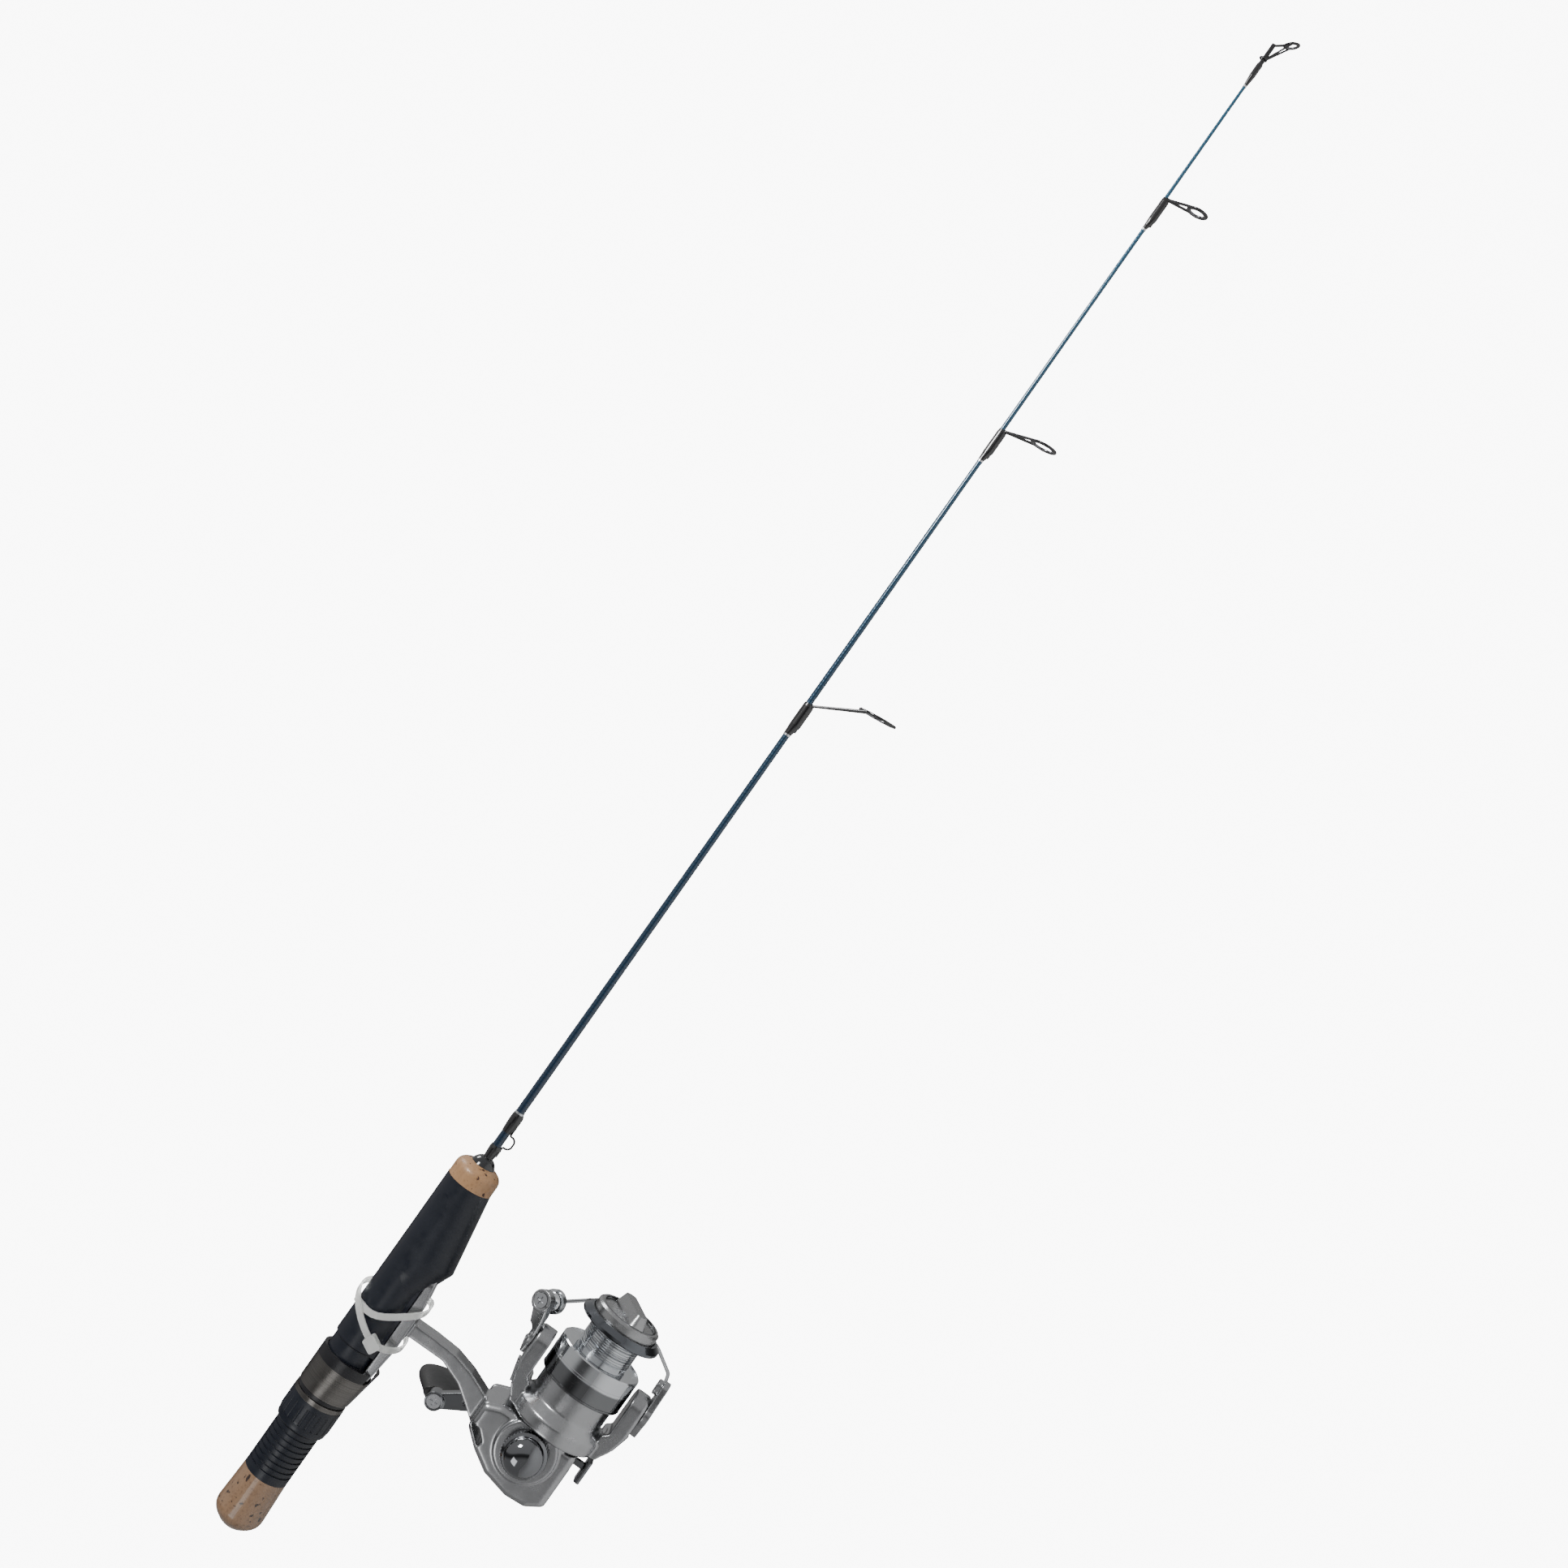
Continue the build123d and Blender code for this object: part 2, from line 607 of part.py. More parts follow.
HOUSING_OUTLINE = [
    (100.2, -53.0),
    (HOUSING_FRONT, -60.0),
    (HOUSING_FRONT, HOUSING_FLOOR),
    (79.3, HOUSING_FLOOR),
    (75.2, -88.5),
    (74.6, -80.0),
    (77.2, -68.5),
    (82.5, -60.0),
    (88.5, -53.0),
]
STEM_OUTLINE = [
    (STEM_REAR, DECK_Z - 2.0),
    (STEM_REAR, -31.0),
    (96.8, -41.0),
    (91.8, -48.0),
    (84.0, -58.0),
    (84.0, -66.0),
    (98.0, -66.0),
    (99.2, -53.0),
    (103.2, -43.5),
    (105.7, -34.0),
    (STEM_FRONT, -24.0),
    (STEM_FRONT, DECK_Z - 2.0),
]
WINDOW_OUTLINE = [(91.4, -52.6), (84.4, -60.6), (87.2, -61.0), (90.6, -57.4)]


def side_block(points, y_start, y_end, corner):
    """Plate cut to a side outline with rounded corners, between two widths."""
    with BuildPart() as block:
        with BuildSketch(across_y(y_end)):
            with BuildLine():
                FilletPolyline(*points, radius=corner, close=True)
            make_face()
        extrude(amount=y_end - y_start)
    return block.part


with BuildPart() as reel_body:
    # housing with rounded edges on its closed side
    add(side_block(HOUSING_OUTLINE, -BODY_HALF_WIDTH, COVER_FACE, CORNER))
    closed_side = reel_body.faces().sort_by(Axis.Y)[0]
    fillet(closed_side.edges(), radius=3.0)
    add(disc_y(-BODY_HALF_WIDTH - BOSS_HEIGHT, -4.0, BOSS_R, 0, CRANK_X, CRANK_Z))
    add(disc_x(HOUSING_FRONT - 3.0, NECK_FRONT, NECK_R, 0, 0, REEL_Z))
    # the neck stands back from the side cover, and the boss and the housing from the rotor's skirt
    add(side_block(HOUSING_OUTLINE, COVER_FACE, NECK_R + 1, CORNER), mode=Mode.SUBTRACT)
    skirt_room = disc_x(HOUSING_FRONT + 0.2, NECK_FRONT + 1, ROTOR_R + 0.5, NECK_R, 0, REEL_Z)
    add(skirt_room, mode=Mode.SUBTRACT)
    add(side_block(STEM_OUTLINE, -STEM_HALF_WIDTH, STEM_HALF_WIDTH, 1.5))
    add(foot_block.part)
    add(side_block(WINDOW_OUTLINE, -20, 20, 0.4), mode=Mode.SUBTRACT)
    # gear chamber, and the chamber for the slider and the oscillation gear
    add(disc_y(-1.2, COVER_FACE, CHAMBER_R, 0, CRANK_X, CRANK_Z), mode=Mode.SUBTRACT)
    add(disc_y(SIDE_FLOOR, 0, 10.4, 0, CRANK_X, CRANK_Z), mode=Mode.SUBTRACT)
    with BuildSketch(across_y(COVER_FACE)):
        with Locations(((CHAMBER_REAR + 92.0) / 2, (REEL_Z - 7.6 - 70.5) / 2)):
            Rectangle(92.0 - CHAMBER_REAR, -70.5 - (REEL_Z - 7.6))
    extrude(amount=COVER_FACE - SIDE_FLOOR, mode=Mode.SUBTRACT)
    # room for the anti-reverse dog and its lever
    with BuildSketch(across_y(LEVER_Y + 2.0)):
        with Locations((94.5, -89.0)):
            Rectangle(3.4, 9.8)
    extrude(amount=8.2, mode=Mode.SUBTRACT)
    with BuildSketch(across_y(STALK_SLOT_START)):
        with Locations((LEVER_STALK_X + LEVER_STALK / 2, (STALK_SLOT_TOP + STALK_SLOT_FLOOR) / 2)):
            Rectangle(LEVER_STALK + 0.8, STALK_SLOT_TOP - STALK_SLOT_FLOOR)
    extrude(amount=STALK_SLOT_START + 10.8, mode=Mode.SUBTRACT)
    add(disc_x(92.0, 102.0, LEVER_SHAFT_R + RUNNING, 0, LEVER_Y, LEVER_Z), mode=Mode.SUBTRACT)
    # holes: crank bush, pinion bearing, pinion and main shaft
    add(disc_y(-20, SIDE_FLOOR + 1, CRANK_BUSH_R, 0, CRANK_X, CRANK_Z), mode=Mode.SUBTRACT)
    bearing_start = NECK_FRONT - BEARING_WIDTH
    add(disc_x(bearing_start, NECK_FRONT, BEARING_R, 0, 0, REEL_Z), mode=Mode.SUBTRACT)
    add(disc_x(96.0, NECK_FRONT, PINION_SHANK_R + CLEAR, 0, 0, REEL_Z), mode=Mode.SUBTRACT)
    for screw_x, screw_z in COVER_SCREW_PLACES:
        add(disc_y(0, COVER_FACE, COVER_SCREW_R, 0, screw_x, screw_z), mode=Mode.SUBTRACT)
    # post that carries the oscillation gear
    add(disc_y(SIDE_FLOOR - 0.2, -9.1, 2.5, 0, OSC_X, REEL_Z))
    add(disc_y(-9.2, -6.7, OSC_POST_R, 0, OSC_X, REEL_Z))
save(reel_body.part, "reel_body")

with BuildPart() as side_cover:
    add(side_block(HOUSING_OUTLINE, COVER_FACE, BODY_HALF_WIDTH, CORNER))
    open_side = side_cover.faces().sort_by(Axis.Y)[-1]
    fillet(open_side.edges(), radius=3.0)
    add(disc_y(BODY_HALF_WIDTH - 2.0, BODY_HALF_WIDTH + 1.2, 9.0, 0, CRANK_X, CRANK_Z))
    add(disc_y(COVER_FACE - 1, 20, CRANK_BUSH_R, 0, CRANK_X, CRANK_Z), mode=Mode.SUBTRACT)
    for screw_x, screw_z in COVER_SCREW_PLACES:
        add(disc_y(COVER_FACE, 20, COVER_SCREW_R, 0, screw_x, screw_z), mode=Mode.SUBTRACT)
        add(disc_y(BODY_HALF_WIDTH - 2.6, 20, 1.9, 0, screw_x, screw_z), mode=Mode.SUBTRACT)
    add(side_block(WINDOW_OUTLINE, 0, 20, 0.4), mode=Mode.SUBTRACT)
save(side_cover.part, "side_cover")

with BuildPart() as cover_screws:
    for screw_x, screw_z in COVER_SCREW_PLACES:
        add(disc_y(1.0, BODY_HALF_WIDTH - 2.6, COVER_SCREW_R, 0, screw_x, screw_z))
        add(disc_y(BODY_HALF_WIDTH - 2.6, BODY_HALF_WIDTH - 1.2, 1.9, 0, screw_x, screw_z))
        with BuildSketch(across_y(BODY_HALF_WIDTH - 1.2, screw_x, screw_z)):
            Rectangle(2.6, 0.5)
            Rectangle(0.5, 2.6)
        extrude(amount=0.6, mode=Mode.SUBTRACT)
save(cover_screws.part, "cover_screws")

BUSH_LENGTH = 3.0
with BuildPart() as crank_bushes:
    for bush_start in (-BODY_HALF_WIDTH - BOSS_HEIGHT, BODY_HALF_WIDTH + 1.2 - BUSH_LENGTH):
        bush_bore = CRANK_SHAFT_R + RUNNING
        add(disc_y(bush_start, bush_start + BUSH_LENGTH, CRANK_BUSH_R, bush_bore, CRANK_X, CRANK_Z))
save(crank_bushes.part, "crank_bushes")

with BuildPart() as pinion_bearing:
    bearing_start = NECK_FRONT - BEARING_WIDTH
    bore = PINION_SHANK_R + RUNNING
    add(disc_x(bearing_start, NECK_FRONT, BEARING_R, bore, 0, REEL_Z))
    for face_x in (bearing_start, NECK_FRONT - 0.4):
        add(disc_x(face_x, face_x + 0.4, BEARING_R - 0.9, bore + 0.7, 0, REEL_Z), mode=Mode.SUBTRACT)
save(pinion_bearing.part, "pinion_bearing")

with BuildPart() as slider_guide_pin:
    add(disc_x(CHAMBER_REAR, 92.0, GUIDE_PIN_R, 0, GUIDE_PIN_Y, GUIDE_PIN_Z))
save(slider_guide_pin.part, "slider_guide_pin")

# ================= anti-reverse =================
with BuildPart() as anti_reverse_lever:
    add(disc_x(93.0, 101.8, LEVER_SHAFT_R, 0, LEVER_Y, LEVER_Z))
    with BuildSketch(across_x(LEVER_STALK_X, LEVER_Y)):
        with Locations((0, (LEVER_Z + LEVER_TAB_Z) / 2)):
            Rectangle(2.4, LEVER_Z - LEVER_TAB_Z)
    extrude(amount=LEVER_STALK)
    with BuildSketch(across_x(93.2, LEVER_Y)):
        with Locations((0, LEVER_TAB_Z)):
            RectangleRounded(7.0, 2.5, 1.1)
    extrude(amount=9.6)
save(anti_reverse_lever.part, "anti_reverse_lever")

with BuildPart() as anti_reverse_dog:
    with BuildSketch(across_x(93.6, LEVER_Y)):
        with Locations((0, LEVER_Z + 3.6)):
            Rectangle(1.8, 7.2)
        with Locations((0, LEVER_Z)):
            Circle(1.8)
            Circle(LEVER_SHAFT_R, mode=Mode.SUBTRACT)
    extrude(amount=1.8)
    add(anti_reverse_lever.part, mode=Mode.SUBTRACT)
save(anti_reverse_dog.part, "anti_reverse_dog")


# ================= gears and crank =================
def spur_profile(teeth, module, turn):
    """Outline points of a plain spur gear with straight-flanked teeth."""
    pitch_r = teeth * module / 2
    root_r = pitch_r - 0.95 * module
    tip_r = pitch_r + 0.8 * module
    step = 2 * math.pi / teeth
    points = []
    for tooth in range(teeth):
        middle = math.radians(turn) + tooth * step
        for share, radius in ((-0.27, root_r), (-0.12, tip_r), (0.12, tip_r), (0.27, root_r)):
            angle = middle + share * step
            points.append((radius * math.cos(angle), radius * math.sin(angle)))
    return points


GEAR_LINE = math.degrees(math.atan2(-SHAFT_OFFSET, OSC_X - CRANK_X))
SPUR_START = -9.0
SPUR_END = -6.6
with BuildPart() as crank_spur:
    with BuildSketch(across_y(SPUR_END, CRANK_X, CRANK_Z)):
        with BuildLine():
            Polyline(*spur_profile(CRANK_SPUR_TEETH, OSC_MODULE, GEAR_LINE), close=True)
        make_face()
        Circle(CRANK_SHAFT_R, mode=Mode.SUBTRACT)
    extrude(amount=SPUR_END - SPUR_START)
save(crank_spur.part, "crank_spur")

PIN_ANGLE = math.acos((SLIDE_BACK - SLIDE_FORWARD) / 2 / OSC_THROW)
PIN_X = OSC_X + OSC_THROW * math.cos(PIN_ANGLE)
PIN_Z = REEL_Z + OSC_THROW * math.sin(PIN_ANGLE)
PIN_R = 1.0
SLIDER_BACK = -3.4
with BuildPart() as oscillation_gear:
    with BuildSketch(across_y(SPUR_END, OSC_X, REEL_Z)):
        with BuildLine():
            half_tooth = 180 / OSC_TEETH
            turn = GEAR_LINE + 180 + half_tooth
            Polyline(*spur_profile(OSC_TEETH, OSC_MODULE, turn), close=True)
        make_face()
    extrude(amount=SPUR_END - SPUR_START)
    add(disc_y(SPUR_END, SPUR_END + 0.9, OSC_THROW + PIN_R + 0.1, 0, OSC_X, REEL_Z))
    add(disc_y(SPUR_START - 1, SPUR_END - 0.0, OSC_POST_R + RUNNING, 0, OSC_X, REEL_Z), mode=Mode.SUBTRACT)
    add(disc_y(SPUR_END, SLIDER_BACK - 0.4, PIN_R, 0, PIN_X, PIN_Z))
save(oscillation_gear.part, "oscillation_gear")

FACE_ROOT = 2.95
FACE_TIP = 1.95
MESH_X = PINION_PITCH_R * GEAR_TEETH / PINION_TEETH
GEAR_DISC = 3.0
with BuildPart() as face_tooth:
    with BuildSketch(across_x(CRANK_X + MESH_X - 1.6, 0, REEL_Z)):
        with BuildLine():
            Polyline(
                (FACE_ROOT + 0.3, -0.52),
                (FACE_TIP, -0.28),
                (FACE_TIP, 0.28),
                (FACE_ROOT + 0.3, 0.52),
                close=True,
            )
        make_face()
    extrude(amount=2.8)

with BuildPart() as drive_gear:
    add(disc_y(FACE_ROOT, FACE_ROOT + GEAR_DISC, GEAR_R, CRANK_SHAFT_R, CRANK_X, CRANK_Z))
    add(disc_y(FACE_ROOT + 1.4, FACE_ROOT + GEAR_DISC, 9.2, 5.0, CRANK_X, CRANK_Z), mode=Mode.SUBTRACT)
    add(disc_y(FACE_ROOT, COVER_FACE + 0.6, 3.6, CRANK_SHAFT_R, CRANK_X, CRANK_Z))
    crank_line = Axis((CRANK_X, 0, CRANK_Z), (0, 1, 0))
    for tooth in range(GEAR_TEETH):
        add(face_tooth.part.rotate(crank_line, tooth * 360 / GEAR_TEETH))
save(drive_gear.part, "drive_gear")

RATCHET_TEETH = 12
RATCHET_R = 7.9
with BuildPart() as ratchet_wheel:
    with BuildSketch(across_y(-9.8, CRANK_X, CRANK_Z)):
        with BuildLine():
            ratchet_points = []
            for tooth in range(RATCHET_TEETH):
                start = math.radians(tooth * 360 / RATCHET_TEETH)
                end = math.radians((tooth + 0.85) * 360 / RATCHET_TEETH)
                inner = RATCHET_R - 1.7
                ratchet_points.append((RATCHET_R * math.cos(start), RATCHET_R * math.sin(start)))
                ratchet_points.append((inner * math.cos(end), inner * math.sin(end)))
            Polyline(*ratchet_points, close=True)
        make_face()
        Circle(CRANK_SHAFT_R, mode=Mode.SUBTRACT)
    extrude(amount=1.2)
save(ratchet_wheel.part, "ratchet_wheel")

CAP_FACE = -BODY_HALF_WIDTH - BOSS_HEIGHT - 0.4
CAP_TOP = -25.0
CAP_R = 8.0
CAP_RIM_R = 9.0
HUB_START = BODY_HALF_WIDTH + 1.6
ARM_BACK = 40.0
ARM_FACE = 44.5
STUB_END = 21.5
with BuildPart() as crank_shaft:
    add(disc_y(CAP_FACE - 4.0, STUB_END, CRANK_SHAFT_R, 0, CRANK_X, CRANK_Z))
save(crank_shaft.part, "crank_shaft")

with BuildPart() as screw_cap:
    with BuildSketch(Plane(origin=(CRANK_X, 0, CRANK_Z), x_dir=(1, 0, 0), z_dir=(0, 0, 1))):
        with BuildLine():
            Line((0, CAP_FACE), (CAP_RIM_R, CAP_FACE))
            Line((CAP_RIM_R, CAP_FACE), (CAP_RIM_R, CAP_FACE - 3.4))
            Line((CAP_RIM_R, CAP_FACE - 3.4), (CAP_R, CAP_FACE - 4.4))
            Spline(
                (CAP_R, CAP_FACE - 4.4),
                (CAP_R - 1.6, CAP_TOP + 2.0),
                (0, CAP_TOP),
                tangents=[(0, -1), (-1, 0)],
            )
            Line((0, CAP_TOP), (0, CAP_FACE))
        make_face()
    revolve(axis=Axis((CRANK_X, 0, CRANK_Z), (0, 1, 0)))
    add(crank_shaft.part, mode=Mode.SUBTRACT)
    with BuildSketch(across_y(CAP_FACE - 0.4, CRANK_X, CRANK_Z)):
        with PolarLocations(CAP_RIM_R + 0.25, 36):
            Circle(0.45)
    extrude(amount=2.6, mode=Mode.SUBTRACT)
save(screw_cap.part, "screw_cap")

ARM_DIRECTION = math.radians(CRANK_ARM_ANGLE)
KNOB_X = CRANK_X + CRANK_ARM_LENGTH * math.cos(ARM_DIRECTION)
KNOB_Z = CRANK_Z + CRANK_ARM_LENGTH * math.sin(ARM_DIRECTION)
HUB_R = 6.0
SHANK_R = 4.4
END_BOSS_R = 4.1
SPINDLE_R = 1.9
with BuildPart() as crank_arm:
    # the shank carries the arm out past the sweep of the rotor and the bail
    with BuildSketch(Plane(origin=(CRANK_X, 0, CRANK_Z), x_dir=(1, 0, 0), z_dir=(0, 0, 1))):
        with BuildLine():
            Polyline(
                (0, HUB_START),
                (HUB_R - 0.5, HUB_START),
                (HUB_R, HUB_START + 0.5),
                (HUB_R, STUB_END),
                (SHANK_R, STUB_END + 3.0),
                (SHANK_R, ARM_BACK - 4.0),
                (HUB_R, ARM_BACK),
                (HUB_R, ARM_FACE - 0.6),
                (HUB_R - 0.6, ARM_FACE),
                (0, ARM_FACE),
                close=True,
            )
        make_face()
    revolve(axis=Axis((CRANK_X, 0, CRANK_Z), (0, 1, 0)))
    arm_plane = Plane(
        origin=(CRANK_X, ARM_FACE, CRANK_Z),
        x_dir=(math.cos(ARM_DIRECTION), 0, math.sin(ARM_DIRECTION)),
        z_dir=(0, -1, 0),
    )
    with BuildSketch(arm_plane):
        with BuildLine():
            Polyline(
                (0, -5.4),
                (CRANK_ARM_LENGTH, -3.2),
                (CRANK_ARM_LENGTH, 3.2),
                (0, 5.4),
                close=True,
            )
        make_face()
    extrude(amount=ARM_FACE - ARM_BACK)
    add(disc_y(ARM_BACK - 0.6, ARM_FACE + 1.6, END_BOSS_R, 0, KNOB_X, KNOB_Z))
    with BuildSketch(arm_plane.offset(ARM_FACE - ARM_BACK)):
        with Locations((CRANK_ARM_LENGTH / 2 - 1.0, 0)):
            SlotOverall(CRANK_ARM_LENGTH - 22.0, 3.4)
    extrude(amount=-0.9, mode=Mode.SUBTRACT)
    add(disc_y(ARM_BACK - 2, ARM_FACE + 3, SPINDLE_R, 0, KNOB_X, KNOB_Z), mode=Mode.SUBTRACT)
    add(disc_y(ARM_BACK - 2, ARM_BACK + 1.0, 3.0, 0, KNOB_X, KNOB_Z), mode=Mode.SUBTRACT)
    add(crank_shaft.part, mode=Mode.SUBTRACT)
save(crank_arm.part, "crank_arm")

KNOB_START = ARM_FACE + 1.6 + CLEAR
KNOB_END = KNOB_START + PADDLE_LENGTH
with BuildPart() as knob_spindle:
    add(disc_y(ARM_BACK - 0.2, ARM_BACK + 1.0, 3.0, 0, KNOB_X, KNOB_Z))
    add(disc_y(ARM_BACK + 1.0, KNOB_END - 7.0, SPINDLE_R, 0, KNOB_X, KNOB_Z))
    with BuildSketch(across_y(ARM_BACK + 0.5, KNOB_X, KNOB_Z)):
        Rectangle(3.6, 0.7)
        Rectangle(0.7, 3.6)
    extrude(amount=1.0, mode=Mode.SUBTRACT)
save(knob_spindle.part, "knob_spindle")

with BuildPart() as handle_knob:
    stations = [(0.0, 0.5, 0.8), (0.35, 0.78, 0.92), (0.8, 1.0, 1.0), (1.0, 0.86, 0.55)]
    for along, wide, thick in stations:
        station_y = KNOB_START + along * PADDLE_LENGTH
        tilted = Plane(origin=(KNOB_X, station_y, KNOB_Z), x_dir=(-0.17, 0, 0.985), z_dir=(0, -1, 0))
        with BuildSketch(tilted):
            Ellipse(PADDLE_WIDTH / 2 * wide, PADDLE_THICKNESS / 2 * thick)
    loft()
    bore_end = KNOB_END - 6.6
    add(disc_y(KNOB_START - 1, bore_end, SPINDLE_R + RUNNING, 0, KNOB_X, KNOB_Z), mode=Mode.SUBTRACT)
save(handle_knob.part, "handle_knob")

# ================= rotor =================
WEB_START = NECK_FRONT + 0.6
WEB_END = WEB_START + 2.0
CUP_WALL = 1.3
PINION_START = 99.5
TEETH_END = 107.3
PINION_END = 118.0
PINION_ROOT_R = 1.75
PINION_TIP_R = 2.8
SHAFT_BORE_R = MAIN_SHAFT_R + RUNNING
ARM_OUTER = ARM_INNER + ARM_THICKNESS
PIVOT_SCREW_R = 1.5

with BuildPart() as pinion:
    with BuildSketch(across_x(PINION_START, 0, REEL_Z)):
        with BuildLine():
            step = 2 * math.pi / PINION_TEETH
            pinion_points = []
            for tooth in range(PINION_TEETH):
                # a gap, not a tooth, faces the drive gear on the +Y side
                middle = (tooth + 0.5) * step
                for half, radius in (
                    (-0.5 / PINION_ROOT_R, PINION_ROOT_R),
                    (-0.22 / PINION_TIP_R, PINION_TIP_R),
                    (0.22 / PINION_TIP_R, PINION_TIP_R),
                    (0.5 / PINION_ROOT_R, PINION_ROOT_R),
                ):
                    angle = middle + half
                    pinion_points.append((radius * math.cos(angle), radius * math.sin(angle)))
            Polyline(*pinion_points, close=True)
        make_face()
    extrude(amount=TEETH_END - PINION_START)
    add(disc_x(TEETH_END, PINION_END, PINION_SHANK_R, 0, 0, REEL_Z))
    add(disc_x(PINION_START - 1, PINION_END + 1, SHAFT_BORE_R, 0, 0, REEL_Z), mode=Mode.SUBTRACT)
save(pinion.part, "pinion")


def rotor_arm(side):
    """Bail arm of the rotor: a deep bracket with a rounded end, above (+1) or below (-1) the axis."""
    with BuildPart() as bracket:
        with BuildSketch(across_y(ARM_HALF_WIDTH + 1.5)):
            with BuildLine():
                outline = [
                    (ROTOR_REAR + 0.3, REEL_Z + side * 17.5),
                    (ROTOR_REAR + 0.8, REEL_Z + side * (ROTOR_R + 0.8)),
                    (110.0, REEL_Z + side * (ARM_OUTER - 2.4)),
                    (119.0, REEL_Z + side * ARM_OUTER),
                    (BAIL_X + 7.0, REEL_Z + side * ARM_OUTER),
                    (BAIL_X + 7.0, REEL_Z + side * ARM_INNER),
                    (115.5, REEL_Z + side * ARM_INNER),
                    (WEB_END, REEL_Z + side * 17.0),
                ]
                Polyline(*outline, close=True)
            make_face()
        extrude(amount=2 * (ARM_HALF_WIDTH + 1.5))
        with BuildSketch(Plane.XY.offset(REEL_Z + side * 10.0)):
            with Locations((BAIL_X, 0)):
                Circle(ARM_HALF_WIDTH)
            with BuildLine():
                Polyline(
                    (ROTOR_REAR, -ARM_HALF_WIDTH - 1.5),
                    (BAIL_X, -ARM_HALF_WIDTH),
                    (BAIL_X, ARM_HALF_WIDTH),
                    (ROTOR_REAR, ARM_HALF_WIDTH + 1.5),
                    close=True,
                )
            make_face()
        extrude(amount=side * 20.0, mode=Mode.INTERSECT)
        chamfer(bracket.faces().sort_by(Axis.Z)[-1 if side > 0 else 0].edges(), length=0.8)
    return bracket.part


with BuildPart() as rotor:
    add(
        turned_x(
            [
                (ROTOR_REAR, 17.8),
                (ROTOR_REAR, ROTOR_R - 0.7),
                (ROTOR_REAR + 0.7, ROTOR_R),
                (WEB_END - 4.2, ROTOR_R),
                (WEB_END - 1.4, ROTOR_R - 2.4),
                (WEB_END, CUP_R),
                (CUP_FRONT, CUP_R),
                (CUP_FRONT, CUP_R - CUP_WALL),
                (WEB_END, CUP_R - CUP_WALL),
                (WEB_END, PINION_SHANK_R),
                (WEB_START, PINION_SHANK_R),
                (WEB_START, 16.0),
                (WEB_START - 2.0, 17.8),
            ],
            REEL_Z,
        )
    )
    for side in (1, -1):
        add(rotor_arm(side))
        add(disc_x(WEB_END, 140.0, SPOOL_SKIRT_R + 0.6, CUP_R, 0, REEL_Z), mode=Mode.SUBTRACT)
        # socket for the bail's pivot screw and pocket for the spring or the balance weight
        with BuildSketch(Plane.XY.offset(REEL_Z + side * (ARM_OUTER - 4.6))):
            with Locations((BAIL_X, 0)):
                Circle(PIVOT_SCREW_R)
        extrude(amount=side * 6.0, mode=Mode.SUBTRACT)
        with BuildSketch(Plane.XY.offset(REEL_Z + side * (ARM_OUTER - 3.4))):
            with Locations((113.8, 0)):
                RectangleRounded(9.4, 7.4, 1.5)
        extrude(amount=side * 6.0, mode=Mode.SUBTRACT)
save(rotor.part, "rotor")

with BuildPart() as rotor_nut:
    with BuildSketch(across_x(WEB_END, 0, REEL_Z)):
        RegularPolygon(4.6, 6)
        Circle(PINION_SHANK_R, mode=Mode.SUBTRACT)
    extrude(amount=2.4)
save(rotor_nut.part, "rotor_nut")

with BuildPart() as arm_covers:
    for side in (1, -1):
        slope = math.atan2(2.4, 9.0)
        cover_plane = Plane(
            origin=(113.8, 0, REEL_Z + side * (ARM_OUTER - 1.75)),
            x_dir=(math.cos(slope), 0, side * math.sin(slope)),
            z_dir=(-math.sin(slope), 0, side * math.cos(slope)),
        )
        with BuildSketch(cover_plane):
            RectangleRounded(9.0, 7.2, 1.4)
        extrude(amount=1.3)
    add(rotor.part, mode=Mode.SUBTRACT)
save(arm_covers.part, "arm_covers")

with BuildPart() as bail_spring:
    spring_z = REEL_Z + ARM_OUTER - 3.4
    coil = Plane(origin=(113.8, 0, spring_z), x_dir=(1, 0, 0), z_dir=(0, 0, 1))
    with BuildSketch(coil):
        Circle(3.1)
        Circle(2.3, mode=Mode.SUBTRACT)
    extrude(amount=0.7)
save(bail_spring.part, "bail_spring")

# ================= bail =================
BAIL_GAP = 0.15
BAIL_PLATE = 2.0
ROLLER_TILT = 30.0
ROLLER_X = 142.3
ROLLER_RISE = 29.0
ROLLER_R = 3.6
BAIL_WIRE_R = 0.8
roller_centre = Vector(ROLLER_X, 0, REEL_Z + ROLLER_RISE)
tilt = math.radians(ROLLER_TILT)
roller_axis = Vector(0, math.cos(tilt), -math.sin(tilt))


def roller_plane(along):
    """Sketch plane square to the line roller's axis, at a distance from its middle."""
    return Plane(origin=roller_centre + roller_axis * along, x_dir=(1, 0, 0), z_dir=roller_axis)


def roller_disc(start, end, outer, inner=0.0):
    """Round disc or ring on the line roller's axis."""
    with BuildPart() as disc:
        with BuildSketch(roller_plane(start)):
            Circle(outer)
            if inner > 0:
                Circle(inner, mode=Mode.SUBTRACT)
        extrude(amount=end - start)
    return disc.part


with BuildPart() as roller_screw:
    add(roller_disc(-6.5, -5.2, 2.9))
    add(roller_disc(-5.2, 5.2, 1.2))
    with BuildSketch(roller_plane(-6.5)):
        Rectangle(3.4, 0.7)
        Rectangle(0.7, 3.4)
    extrude(amount=0.6, mode=Mode.SUBTRACT)
save(roller_screw.part, "roller_screw")

